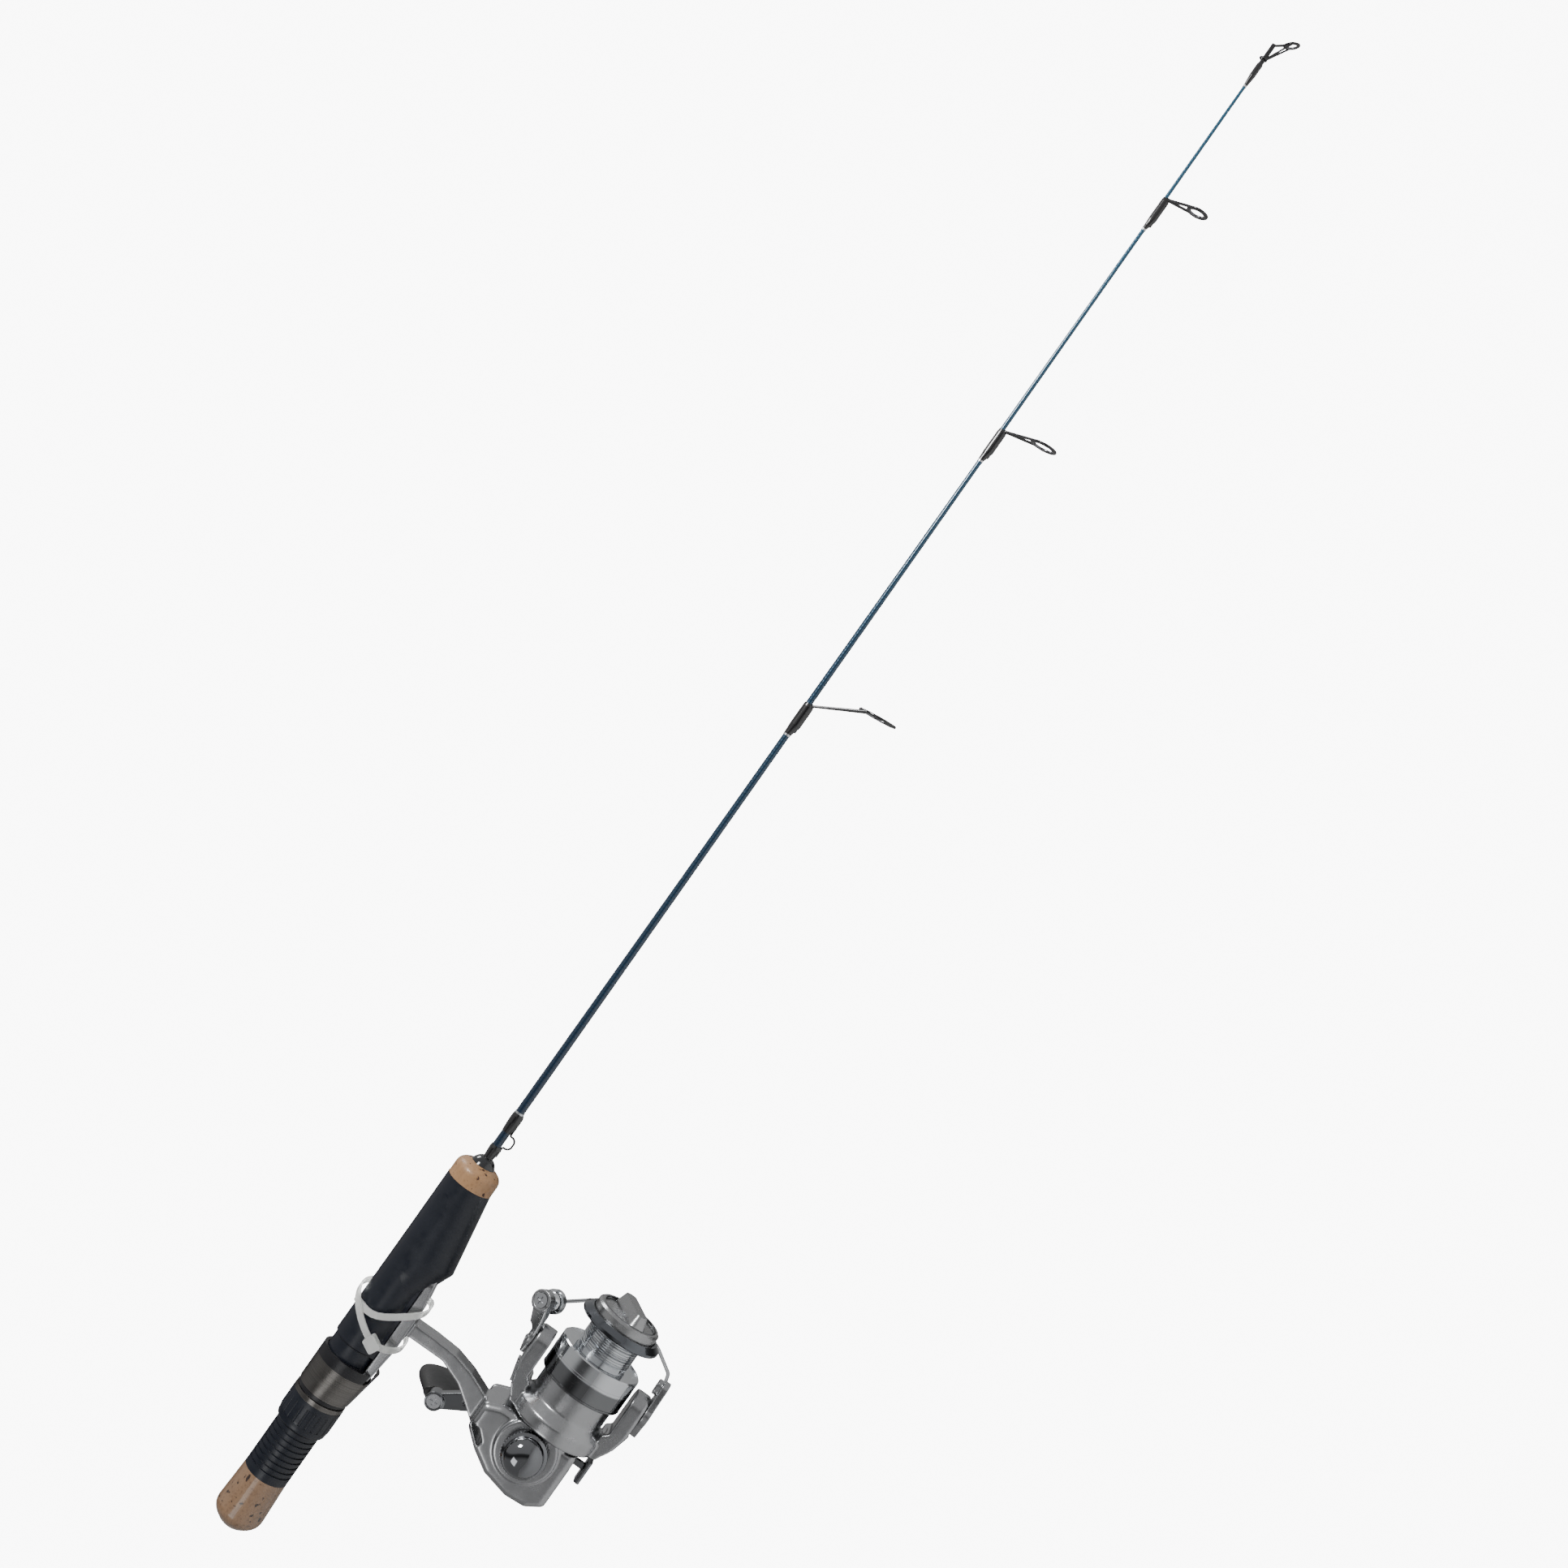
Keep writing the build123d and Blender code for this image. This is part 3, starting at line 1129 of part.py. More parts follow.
plate_z = REEL_Z + ARM_OUTER + BAIL_GAP
with BuildPart() as bail_arm:
    with BuildSketch(Plane.XY.offset(plate_z)):
        with Locations((BAIL_X, 0)):
            Circle(5.6)
    extrude(amount=BAIL_PLATE)
    # the arm twists from flat at its pivot to square with the roller's axis
    boss_centre = roller_centre + roller_axis * -4.6
    sections = [
        (121.0, 0.0, plate_z + 1.0, 0.0, 7.0, 2.0),
        (131.0, -1.6, plate_z + 1.9, 26.0, 8.6, 2.6),
        (ROLLER_X, boss_centre.Y, boss_centre.Z, 60.0, 8.6, 4.0),
    ]
    for x, y, z, twist, width, thickness in sections:
        turn = math.radians(twist)
        strap_across = (0, math.cos(turn), math.sin(turn))
        with BuildSketch(Plane(origin=(x, y, z), x_dir=strap_across, z_dir=(1, 0, 0))):
            RectangleRounded(width, thickness, 0.8)
    loft()
    add(roller_disc(-2.3, 9.0, ROLLER_R + 0.4), mode=Mode.SUBTRACT)
    add(roller_disc(-6.4, -2.4, 4.4))
    add(roller_disc(-7.5, -5.2, 2.95), mode=Mode.SUBTRACT)
    add(roller_disc(-8, 8, 1.2), mode=Mode.SUBTRACT)
    with BuildSketch(Plane.XY.offset(plate_z - 4.0)):
        with Locations((130.0, 0)):
            Rectangle(24.0, 18.0)
    extrude(amount=4.0, mode=Mode.SUBTRACT)
    with BuildSketch(Plane.XY.offset(plate_z - 1)):
        with Locations((BAIL_X, 0)):
            Circle(PIVOT_SCREW_R + RUNNING)
    extrude(amount=8.0, mode=Mode.SUBTRACT)
    with BuildSketch(Plane.XY.offset(plate_z + BAIL_PLATE - 0.9)):
        with Locations((BAIL_X, 0)):
            Circle(3.4)
    extrude(amount=8.0, mode=Mode.SUBTRACT)
save(bail_arm.part, "bail_arm")

with BuildPart() as line_roller:
    with BuildSketch(Plane(origin=roller_centre, x_dir=(1, 0, 0), z_dir=roller_axis.cross(Vector(1, 0, 0)))):
        with BuildLine():
            Line((1.25, -2.1), (ROLLER_R, -2.1))
            ThreePointArc((ROLLER_R, -2.1), (ROLLER_R - 0.9, 0.0), (ROLLER_R, 2.1))
            Line((ROLLER_R, 2.1), (1.25, 2.1))
            Line((1.25, 2.1), (1.25, -2.1))
        make_face()
    revolve(axis=Axis(roller_centre, roller_axis))
save(line_roller.part, "line_roller")

LEVER_PLATE_Z = REEL_Z - ARM_OUTER - BAIL_GAP
LEVER_PLATE = 2.8
LEVER_END_X = 140.0
BAIL_REACH = 36.2
with BuildPart() as bail_lever:
    with BuildSketch(Plane.XY.offset(LEVER_PLATE_Z)):
        with Locations((BAIL_X, 0)):
            Circle(5.8)
        with Locations((LEVER_END_X, 0)):
            Circle(3.2)
        with BuildLine():
            Polyline(
                (BAIL_X - 9.5, -2.2),
                (BAIL_X, -5.6),
                (LEVER_END_X, -3.2),
                (LEVER_END_X, 3.2),
                (BAIL_X, 5.6),
                (BAIL_X - 9.5, 2.2),
                close=True,
            )
        make_face()
    extrude(amount=-LEVER_PLATE)
    with BuildSketch(Plane.XY.offset(LEVER_PLATE_Z + 2.0)):
        with Locations((LEVER_END_X - 0.6, 0)):
            SlotOverall(6.6, 4.6)
    extrude(amount=-4.0)
    with BuildSketch(Plane.XY.offset(LEVER_PLATE_Z + 1)):
        with Locations((BAIL_X, 0)):
            Circle(PIVOT_SCREW_R + RUNNING)
    extrude(amount=-8.0, mode=Mode.SUBTRACT)
    with BuildSketch(Plane.XY.offset(LEVER_PLATE_Z - LEVER_PLATE + 1.2)):
        with Locations((BAIL_X, 0)):
            Circle(3.4)
    extrude(amount=-4.0, mode=Mode.SUBTRACT)

wire_start = roller_centre + roller_axis * 6.2
wire_route = [
    (wire_start.X, wire_start.Y, wire_start.Z),
    (143.5, BAIL_REACH - 1.5, REEL_Z + 11.5),
    (144.5, BAIL_REACH, REEL_Z - 6.0),
    (144.0, 30.0, REEL_Z - 18.5),
    (143.0, 10.0, LEVER_PLATE_Z - 0.6),
    (LEVER_END_X, 0.0, LEVER_PLATE_Z - 1.0),
]
with BuildPart() as bail_wire:
    with BuildLine() as wire_path:
        FilletPolyline(*wire_route, radius=[9.0, 11.0, 12.0, 7.0])
    with BuildSketch(Plane(origin=wire_route[0], z_dir=wire_path.line % 0)):
        Circle(BAIL_WIRE_R)
    sweep(path=wire_path.line)
    add(roller_disc(2.4, 5.0, 4.9))
    with BuildSketch(roller_plane(5.0)):
        Circle(4.9)
    with BuildSketch(roller_plane(8.6)):
        Circle(1.3)
    loft()
    add(roller_disc(-8, 5.2, 1.2), mode=Mode.SUBTRACT)
    add(bail_lever.part, mode=Mode.SUBTRACT)
save(bail_wire.part, "bail_wire")
save(bail_lever.part, "bail_lever")

with BuildPart() as bail_pivot_screws:
    for side, top in ((1, plate_z + BAIL_PLATE - 0.9), (-1, LEVER_PLATE_Z - LEVER_PLATE + 1.2)):
        with BuildSketch(Plane.XY.offset(REEL_Z + side * (ARM_OUTER - 4.6))):
            with Locations((BAIL_X, 0)):
                Circle(PIVOT_SCREW_R)
        extrude(amount=top - (REEL_Z + side * (ARM_OUTER - 4.6)))
        with BuildSketch(Plane.XY.offset(top + side * 0.1)):
            with Locations((BAIL_X, 0)):
                Circle(3.1)
        extrude(amount=side * 1.2)
        with BuildSketch(Plane.XY.offset(top)):
            with Locations((BAIL_X, 0)):
                Circle(PIVOT_SCREW_R)
        extrude(amount=side * 0.2)
        with BuildSketch(Plane.XY.offset(top + side * 0.8)):
            with Locations((BAIL_X, 0)):
                Rectangle(4.0, 0.7)
                Rectangle(0.7, 4.0)
        extrude(amount=side * 1.0, mode=Mode.SUBTRACT)
save(bail_pivot_screws.part, "bail_pivot_screws")

# ================= main shaft, slider and spool =================
SLIDER_X = OSC_X + (SLIDE_BACK - SLIDE_FORWARD) / 2
SLIDER_HALF = 2.2
SLIDER_FRONT = 1.6
SLOT_WIDTH = 2 * PIN_R + 0.4
with BuildPart() as oscillation_slider:
    with BuildSketch(across_x(SLIDER_X - SLIDER_HALF, 0, REEL_Z)):
        with Locations(((SLIDER_BACK + SLIDER_FRONT) / 2, 0)):
            RectangleRounded(SLIDER_FRONT - SLIDER_BACK, 2 * (OSC_THROW + PIN_R + 0.7), 0.8)
        Circle(MAIN_SHAFT_R, mode=Mode.SUBTRACT)
        with Locations((GUIDE_PIN_Y, GUIDE_PIN_Z - REEL_Z)):
            Circle(GUIDE_PIN_R + RUNNING, mode=Mode.SUBTRACT)
    extrude(amount=2 * SLIDER_HALF)
    with BuildSketch(across_y(SLIDER_BACK + 1.2, SLIDER_X, REEL_Z)):
        SlotOverall(2 * (OSC_THROW + PIN_R) + 0.6, SLOT_WIDTH, rotation=90)
    extrude(amount=3.0, mode=Mode.SUBTRACT)
save(oscillation_slider.part, "oscillation_slider")

SHAFT_END = KNOB_FRONT - 6.5
with BuildPart() as main_shaft:
    add(disc_x(SLIDER_X - SLIDER_HALF, SHAFT_END, MAIN_SHAFT_R, 0, 0, REEL_Z))
save(main_shaft.part, "main_shaft")

RECESS_R = KNOB_R + 0.4
RECESS_START = LIP_FRONT - 2.0
STACK_R = 9.0
STACK_START = 142.0
STACK_END = 146.6
RIDGES = 7
RIDGE_PITCH = 1.25
SKIRT_WALL = 1.1
with BuildPart() as spool:
    add(
        turned_x(
            [
                (SPOOL_REAR, SPOOL_SKIRT_R - SKIRT_WALL),
                (SPOOL_REAR, SPOOL_SKIRT_R - 0.3),
                (SPOOL_REAR + 0.5, SPOOL_SKIRT_R),
                (SPOOL_FACE - 0.5, SPOOL_SKIRT_R),
                (SPOOL_FACE, SPOOL_SKIRT_R - 0.5),
                (SPOOL_FACE, ARBOR_R),
                (LIP_REAR, ARBOR_R),
                (LIP_REAR + 0.9, LIP_R - 0.4),
                (LIP_REAR + 1.4, LIP_R),
                (LIP_REAR + 2.4, LIP_R),
                (LIP_FRONT, LIP_R - 2.2),
                (LIP_FRONT, RECESS_R),
                (RECESS_START, RECESS_R),
                (RECESS_START, STACK_R + 0.2),
                (STACK_START, STACK_R + 0.2),
                (STACK_START, SHAFT_BORE_R),
                (SPOOL_FACE - 5.0, SHAFT_BORE_R),
                (SPOOL_FACE - 5.0, 3.4),
                (SPOOL_FACE - 2.0, 3.4),
                (SPOOL_FACE - 2.0, SPOOL_SKIRT_R - SKIRT_WALL),
            ],
            REEL_Z,
        )
    )
    for ridge in range(RIDGES):
        groove_x = SPOOL_FACE + 1.9 + ridge * RIDGE_PITCH
        add(disc_x(groove_x, groove_x + 0.5, ARBOR_R + 1, ARBOR_R - 0.35, 0, REEL_Z), mode=Mode.SUBTRACT)
    for band_x in (SPOOL_REAR + 1.0, SPOOL_REAR + 7.4):
        groove = disc_x(band_x, band_x + 0.35, SPOOL_SKIRT_R + 1, SPOOL_SKIRT_R - 0.3, 0, REEL_Z)
        add(groove, mode=Mode.SUBTRACT)
save(spool.part, "spool")

WASHER = 0.9
with BuildPart() as drag_washers:
    for number in range(5):
        start = STACK_START + number * WASHER
        outer = STACK_R if number % 2 else STACK_R - 0.5
        add(disc_x(start, start + WASHER - 0.05, outer, MAIN_SHAFT_R + 0.5, 0, REEL_Z))
save(drag_washers.part, "drag_washers")

with BuildPart() as washer_retainer:
    add(disc_x(STACK_END, STACK_END + 0.8, STACK_R + 0.2, STACK_R - 0.8, 0, REEL_Z))
    with BuildSketch(across_x(STACK_END - 1, 0, REEL_Z + STACK_R)):
        Rectangle(1.6, 4.0)
    extrude(amount=4.0, mode=Mode.SUBTRACT)
save(washer_retainer.part, "washer_retainer")

# ================= drag knob =================
KNOB_DISC_START = RECESS_START + 0.5
KNOB_DISC_END = KNOB_DISC_START + 5.2
BAR_ANGLE = 23.0
BAR_LENGTH = 22.0
BAR_WIDTH = 8.0
NUT_FLATS_R = 3.6
with BuildPart() as drag_knob:
    add(
        turned_x(
            [
                (KNOB_DISC_START - 2.6, 4.6),
                (KNOB_DISC_START - 2.6, 7.6),
                (KNOB_DISC_START, 7.6),
                (KNOB_DISC_START, KNOB_R - 0.3),
                (KNOB_DISC_START + 0.3, KNOB_R),
                (KNOB_DISC_END - 0.8, KNOB_R),
                (KNOB_DISC_END, KNOB_R - 0.8),
                (KNOB_DISC_END, KNOB_R - 1.9),
                (KNOB_DISC_END - 0.8, KNOB_R - 2.3),
                (KNOB_DISC_END - 0.8, 0.0),
                (SHAFT_END + 0.4, 0.0),
                (SHAFT_END + 0.4, SHAFT_BORE_R),
                (KNOB_DISC_START, SHAFT_BORE_R),
                (KNOB_DISC_START, 4.6),
            ],
            REEL_Z,
        )
    )
    bar_plane = Plane(
        origin=(KNOB_DISC_END - 1.2, 0, REEL_Z),
        x_dir=(0, math.cos(math.radians(BAR_ANGLE)), math.sin(math.radians(BAR_ANGLE))),
        z_dir=(1, 0, 0),
    )
    with BuildSketch(bar_plane):
        RectangleRounded(BAR_LENGTH + 2.0, BAR_WIDTH, 3.0)
    with BuildSketch(bar_plane.offset(KNOB_FRONT - KNOB_DISC_END + 1.2)):
        RectangleRounded(BAR_LENGTH - 2.0, BAR_WIDTH - 3.0, 2.0)
    loft()
    with BuildSketch(across_x(KNOB_DISC_START, 0, REEL_Z)):
        RegularPolygon(NUT_FLATS_R, 6)
    extrude(amount=3.0, mode=Mode.SUBTRACT)
    add(disc_x(KNOB_DISC_START, SHAFT_END + 0.4, SHAFT_BORE_R, 0, 0, REEL_Z), mode=Mode.SUBTRACT)
save(drag_knob.part, "drag_knob")

with BuildPart() as drag_nut:
    with BuildSketch(across_x(KNOB_DISC_START, 0, REEL_Z)):
        RegularPolygon(NUT_FLATS_R, 6)
        Circle(SHAFT_BORE_R, mode=Mode.SUBTRACT)
    extrude(amount=3.0)
save(drag_nut.part, "drag_nut")

SPRING_R = 2.6
SPRING_WIRE = 0.35
with BuildPart() as drag_spring:
    spring_start = STACK_END + 0.2
    spring_end = KNOB_DISC_START - 0.1
    coils = 4
    pitch = (spring_end - spring_start - 2 * SPRING_WIRE) / (coils - 1)
    for turn in range(coils):
        coil_x = spring_start + SPRING_WIRE + turn * pitch
        coil_plane = Plane(origin=(coil_x, 0, REEL_Z), x_dir=(0, 1, 0), z_dir=(1, 0, 0))
        add(ring_solid(coil_plane, SPRING_R, SPRING_WIRE))
save(drag_spring.part, "drag_spring")

# ================= cable tie =================
TIE_WIDTH = 2.5
TIE_THICKNESS = 0.9
TIE_STEPS = 76
TIE_TOP = SEAT_R + TIE_THICKNESS / 2
TIE_SIDE = SEAT_R + 1.3
TIE_BOTTOM = DECK_Z - FOOT_MIDDLE_THICKNESS - 1.8
# two loose turns round the seat and the reel foot, one behind the stem and one ahead of it
TIE_ROUTE = [
    (93.3, -TIE_SIDE - 0.4, -5.0),
    (94.0, -9.6, -11.8),
    (95.5, 0.0, TIE_BOTTOM),
    (97.0, 9.4, -11.8),
    (98.5, TIE_SIDE, -2.5),
    (99.5, 10.0, 5.6),
    (100.6, 0.0, TIE_TOP),
    (102.2, -7.8, 8.0),
    (102.4, -TIE_SIDE, 2.0),
    (104.6, -TIE_SIDE, -3.5),
    (108.6, -10.2, -9.6),
    (111.8, -7.8, -14.2),
    (113.6, 0.0, TIE_BOTTOM),
    (112.4, 9.0, -12.4),
    (109.4, TIE_SIDE, -3.0),
    (108.0, 9.8, 6.0),
    (106.4, 0.0, TIE_TOP + 1.4),
    (102.6, -8.8, 9.0),
    (97.4, -TIE_SIDE - 0.8, 2.0),
    (93.3, -TIE_SIDE - 0.4, -5.0),
]
tie_line = Spline(*TIE_ROUTE)
with BuildPart() as cable_tie:
    for number in range(TIE_STEPS + 1):
        along = number / TIE_STEPS
        tangent = tie_line % along
        across = (Vector(1, 0, 0) - tangent * tangent.X).normalized()
        with BuildSketch(Plane(origin=tie_line @ along, x_dir=across, z_dir=tangent)):
            Rectangle(TIE_WIDTH, TIE_THICKNESS)
    loft(ruled=True)
    # locking head, which the strap's end runs through
    lean = math.radians(28.0)
    head_plane = Plane(
        origin=TIE_ROUTE[0],
        x_dir=(math.cos(lean), 0, -math.sin(lean)),
        z_dir=(0, -1, 0),
    )
    with BuildSketch(head_plane.offset(-1.6)):
        RectangleRounded(5.0, 6.0, 0.8)
    extrude(amount=3.6)
save(cable_tie.part, "cable_tie")
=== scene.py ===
import json
import math

import bmesh
import bpy
from mathutils import Matrix, Vector


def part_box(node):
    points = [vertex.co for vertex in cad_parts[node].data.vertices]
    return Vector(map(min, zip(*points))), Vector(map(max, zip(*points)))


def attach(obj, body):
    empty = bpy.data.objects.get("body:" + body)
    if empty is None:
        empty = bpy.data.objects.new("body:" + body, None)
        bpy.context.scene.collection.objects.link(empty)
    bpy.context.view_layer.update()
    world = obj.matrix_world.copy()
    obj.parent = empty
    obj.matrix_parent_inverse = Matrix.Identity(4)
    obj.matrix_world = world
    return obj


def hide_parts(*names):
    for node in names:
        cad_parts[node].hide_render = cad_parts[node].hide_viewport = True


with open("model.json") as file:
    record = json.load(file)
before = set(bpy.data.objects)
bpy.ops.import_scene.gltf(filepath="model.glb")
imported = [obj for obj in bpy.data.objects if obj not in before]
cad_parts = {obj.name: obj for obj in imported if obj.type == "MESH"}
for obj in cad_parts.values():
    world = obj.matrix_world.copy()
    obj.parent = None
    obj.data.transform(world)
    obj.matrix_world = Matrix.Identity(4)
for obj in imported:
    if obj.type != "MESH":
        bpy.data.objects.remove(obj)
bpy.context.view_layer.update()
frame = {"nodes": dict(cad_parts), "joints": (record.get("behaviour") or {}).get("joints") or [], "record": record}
NODES = frame["nodes"]
MM = 0.001


# ---------------- measures taken from the frame ----------------
def joint(name):
    """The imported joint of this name."""
    for entry in frame["joints"]:
        if entry["name"] == name:
            return entry
    raise KeyError(name)


SPOOL_AXIS = Vector(joint("spool_spin")["pos_m"])
CRANK_AXIS = Vector(joint("crank_spin")["pos_m"])
SPOOL_LOW, SPOOL_HIGH = (Vector(v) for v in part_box("spool"))
CAP_LOW, CAP_HIGH = (Vector(v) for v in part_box("screw_cap"))
KNOB_LOW, KNOB_HIGH = (Vector(v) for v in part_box("drag_knob"))


# ---------------- material kit ----------------
class Finish:
    """A procedural material: one Principled shader and the texture nodes that feed it."""

    def __init__(self, name, base, rough, metal=0.0, **sockets):
        self.mat = bpy.data.materials.new(name)
        self.mat.use_nodes = True
        self.tree = self.mat.node_tree
        self.shader = self.tree.nodes["Principled BSDF"]
        self.shader.inputs["Base Color"].default_value = (*base, 1)
        self.shader.inputs["Roughness"].default_value = rough
        self.shader.inputs["Metallic"].default_value = metal
        for socket, value in sockets.items():
            self.shader.inputs[socket.replace("_", " ")].default_value = value
        self.base = base
        coords = self.tree.nodes.new("ShaderNodeTexCoord")
        self.place = coords.outputs["Object"]
        self.heights = []

    def node(self, kind, **values):
        """Adds a node and sets its sockets by name."""
        made = self.tree.nodes.new(kind)
        for socket, value in values.items():
            made.inputs[socket].default_value = value
        return made

    def scaled(self, scale):
        """Object coordinates stretched by a scale for each axis."""
        mapping = self.node("ShaderNodeMapping", Scale=scale)
        self.tree.links.new(self.place, mapping.inputs["Vector"])
        return mapping.outputs["Vector"]

    def noise(self, scale, detail=4.0, stretch=(1, 1, 1), roughness=0.55):
        """Noise texture's value."""
        made = self.node("ShaderNodeTexNoise", Scale=scale, Detail=detail, Roughness=roughness)
        self.tree.links.new(self.scaled(stretch), made.inputs["Vector"])
        return made.outputs["Fac"]

    def cells(self, scale):
        """Distance to the middle of the nearest cell."""
        made = self.node("ShaderNodeTexVoronoi", Scale=scale)
        self.tree.links.new(self.scaled((1, 1, 1)), made.inputs["Vector"])
        return made.outputs["Distance"]

    def axis(self, index):
        """One object coordinate."""
        split = self.node("ShaderNodeSeparateXYZ")
        self.tree.links.new(self.place, split.inputs["Vector"])
        return split.outputs[index]

    def wave(self, scale):
        """Bands along X."""
        made = self.node("ShaderNodeTexWave", Scale=scale, Distortion=0.0)
        made.bands_direction = "X"
        self.tree.links.new(self.scaled((1, 1, 1)), made.inputs["Vector"])
        return made.outputs["Fac"]

    def ramp(self, value, stops):
        """Colour ramp with the stops (place, colour)."""
        made = self.node("ShaderNodeValToRGB")
        self.tree.links.new(value, made.inputs["Fac"])
        elements = made.color_ramp.elements
        while len(elements) < len(stops):
            elements.new(0.5)
        for element, (place, colour) in zip(elements, stops):
            element.position = place
            element.color = (*colour, 1)
        return made.outputs["Color"]

    def remap(self, value, low, high, to_low, to_high):
        """Value moved from one range to another."""
        made = self.node("ShaderNodeMapRange")
        ends = {"From Min": low, "From Max": high, "To Min": to_low, "To Max": to_high}
        for socket, number in ends.items():
            made.inputs[socket].default_value = number
        self.tree.links.new(value, made.inputs["Value"])
        return made.outputs["Result"]

    def mix(self, amount, first, second, kind="MIX"):
        """Mix of two colours, each a socket or a plain colour."""
        made = self.node("ShaderNodeMix")
        made.data_type = "RGBA"
        made.blend_type = kind
        for slot, kind_wanted, value in (
            ("Factor", "VALUE", amount),
            ("A", "RGBA", first),
            ("B", "RGBA", second),
        ):
            socket = next(s for s in made.inputs if s.name == slot and s.type == kind_wanted)
            if isinstance(value, bpy.types.NodeSocket):
                self.tree.links.new(value, socket)
            elif slot == "Factor":
                socket.default_value = value
            else:
                socket.default_value = (*value, 1)
        return [s for s in made.outputs if s.type == "RGBA"][0]

    def colour(self, socket):
        """Feeds the base colour."""
        self.tree.links.new(socket, self.shader.inputs["Base Color"])

    def roughness(self, value, low, high):
        """Roughness that follows a texture between two values."""
        self.tree.links.new(self.remap(value, 0.3, 0.7, low, high), self.shader.inputs["Roughness"])

    def bump(self, value, distance, strength=0.5):
        """Adds relief. Each call stacks on the one before."""
        made = self.node("ShaderNodeBump", Strength=strength, Distance=distance)
        self.tree.links.new(value, made.inputs["Height"])
        if self.heights:
            self.tree.links.new(self.heights[-1], made.inputs["Normal"])
        self.heights.append(made.outputs["Normal"])
        self.tree.links.new(made.outputs["Normal"], self.shader.inputs["Normal"])

    def worn(self, spread=0.12, scale=90.0):
        """Small drift of tone over the base colour."""
        dark = tuple(c * (1 - spread) for c in self.base)
        light = tuple(min(1.0, c * (1 + spread)) for c in self.base)
        self.colour(self.mix(self.noise(scale), dark, light))


# ---------------- finishes ----------------
def cork(name, pale, deep, gap, coat):
    """Cork: grains in several tones with dark pits, under varnish."""
    finish = Finish(name, pale, 0.45, Coat_Weight=coat, Coat_Roughness=0.12)
    grains = finish.cells(620.0)
    base = finish.mix(finish.noise(150.0, 6.0), deep, pale)
    base = finish.mix(0.6, base, finish.ramp(grains, [(0.0, deep), (0.45, pale), (1.0, pale)]))
    streaks = finish.ramp(finish.noise(260.0, 5.0, (0.45, 1, 1)), [(0.60, (0, 0, 0)), (0.70, (1, 1, 1))])
    pits = finish.ramp(finish.noise(420.0, 3.0, (1, 1, 1), 0.4), [(0.625, (0, 0, 0)), (0.68, (1, 1, 1))])
    base = finish.mix(finish.mix(0.35, (0, 0, 0), streaks), base, deep)
    base = finish.mix(pits, base, gap)
    finish.colour(base)
    finish.bump(pits, 0.0004, -0.6)
    finish.bump(finish.noise(900.0, 3.0), 0.00012, 0.25)
    finish.roughness(finish.noise(300.0), 0.34, 0.55)
    return finish.mat


BLUE_START = 0.17
BLUE_END = 0.70


def blank_paint():
    """Clear-coated blue: near black at the butt, brighter blue at the tip, with fine tape lines."""
    finish = Finish("blank_blue_gloss", (0.004, 0.03, 0.07), 0.28, 0.35, Coat_Weight=1.0, Coat_Roughness=0.06)
    along = finish.remap(finish.axis(0), BLUE_START, BLUE_END, 0.0, 1.0)
    near_black = (0.0015, 0.017, 0.045)
    deep_blue = (0.002, 0.040, 0.085)
    bright_blue = (0.010, 0.105, 0.190)
    base = finish.ramp(along, [(0.0, near_black), (0.45, deep_blue), (1.0, bright_blue)])
    lines = finish.wave(190.0)
    dark = finish.mix(0.5, base, (0.0, 0.002, 0.006))
    finish.colour(finish.mix(finish.ramp(lines, [(0.55, (0, 0, 0)), (0.95, (0.6, 0.6, 0.6))]), base, dark))
    finish.bump(lines, 0.00006, 0.35)
    finish.bump(finish.noise(400.0, 2.0), 0.00004, 0.2)
    return finish.mat


def plastic(name, base, rough, grain=0.00004, coat=0.0):
    """Moulded plastic or epoxy with faint waviness."""
    finish = Finish(name, base, rough, Coat_Weight=coat, Coat_Roughness=0.05)
    finish.worn(0.15, 60.0)
    finish.roughness(finish.noise(240.0, 5.0), rough * 0.8, rough * 1.25)
    finish.bump(finish.noise(700.0, 3.0), grain, 0.3)
    return finish.mat


def epoxy_thread():
    """Black thread wrap under glossy epoxy: fine turns show through."""
    finish = Finish("thread_epoxy_black", (0.006, 0.006, 0.008), 0.22, Coat_Weight=1.0, Coat_Roughness=0.03)
    turns = finish.wave(900.0)
    finish.colour(finish.mix(turns, (0.003, 0.003, 0.004), (0.008, 0.008, 0.009)))
    finish.bump(turns, 0.00001, 0.1)
    finish.bump(finish.noise(120.0, 1.0), 0.00006, 0.15)
    return finish.mat


def metal(name, base, rough, brushed=None, grain=0.00002, coat=0.0, metallic=1.0):
    """Metal or metallic paint; brushed gives the stretch of the brush marks."""
    finish = Finish(name, base, rough, metallic, Coat_Weight=coat, Coat_Roughness=0.08)
    tone = finish.noise(70.0, 4.0)
    colour = finish.mix(tone, tuple(c * 0.90 for c in base), tuple(min(1, c * 1.08) for c in base))
    if brushed:
        marks = finish.noise(1.0, 3.0, brushed)
        colour = finish.mix(0.25, colour, finish.ramp(marks, [(0.3, (0, 0, 0)), (0.7, (1, 1, 1))]), "OVERLAY")
        finish.bump(marks, 0.00003, 0.35)
    finish.colour(colour)
    finish.roughness(finish.noise(200.0, 5.0), rough * 0.8, rough * 1.2)
    finish.bump(finish.noise(500.0, 3.0), grain, 0.2)
    return finish.mat


def nylon():
    """Translucent white nylon."""
    finish = Finish("nylon_clear_white", (0.82, 0.83, 0.81), 0.32, Transmission_Weight=0.45, IOR=1.5)
    finish.worn(0.05, 200.0)
    finish.bump(finish.noise(600.0, 3.0), 0.00004, 0.3)
    return finish.mat


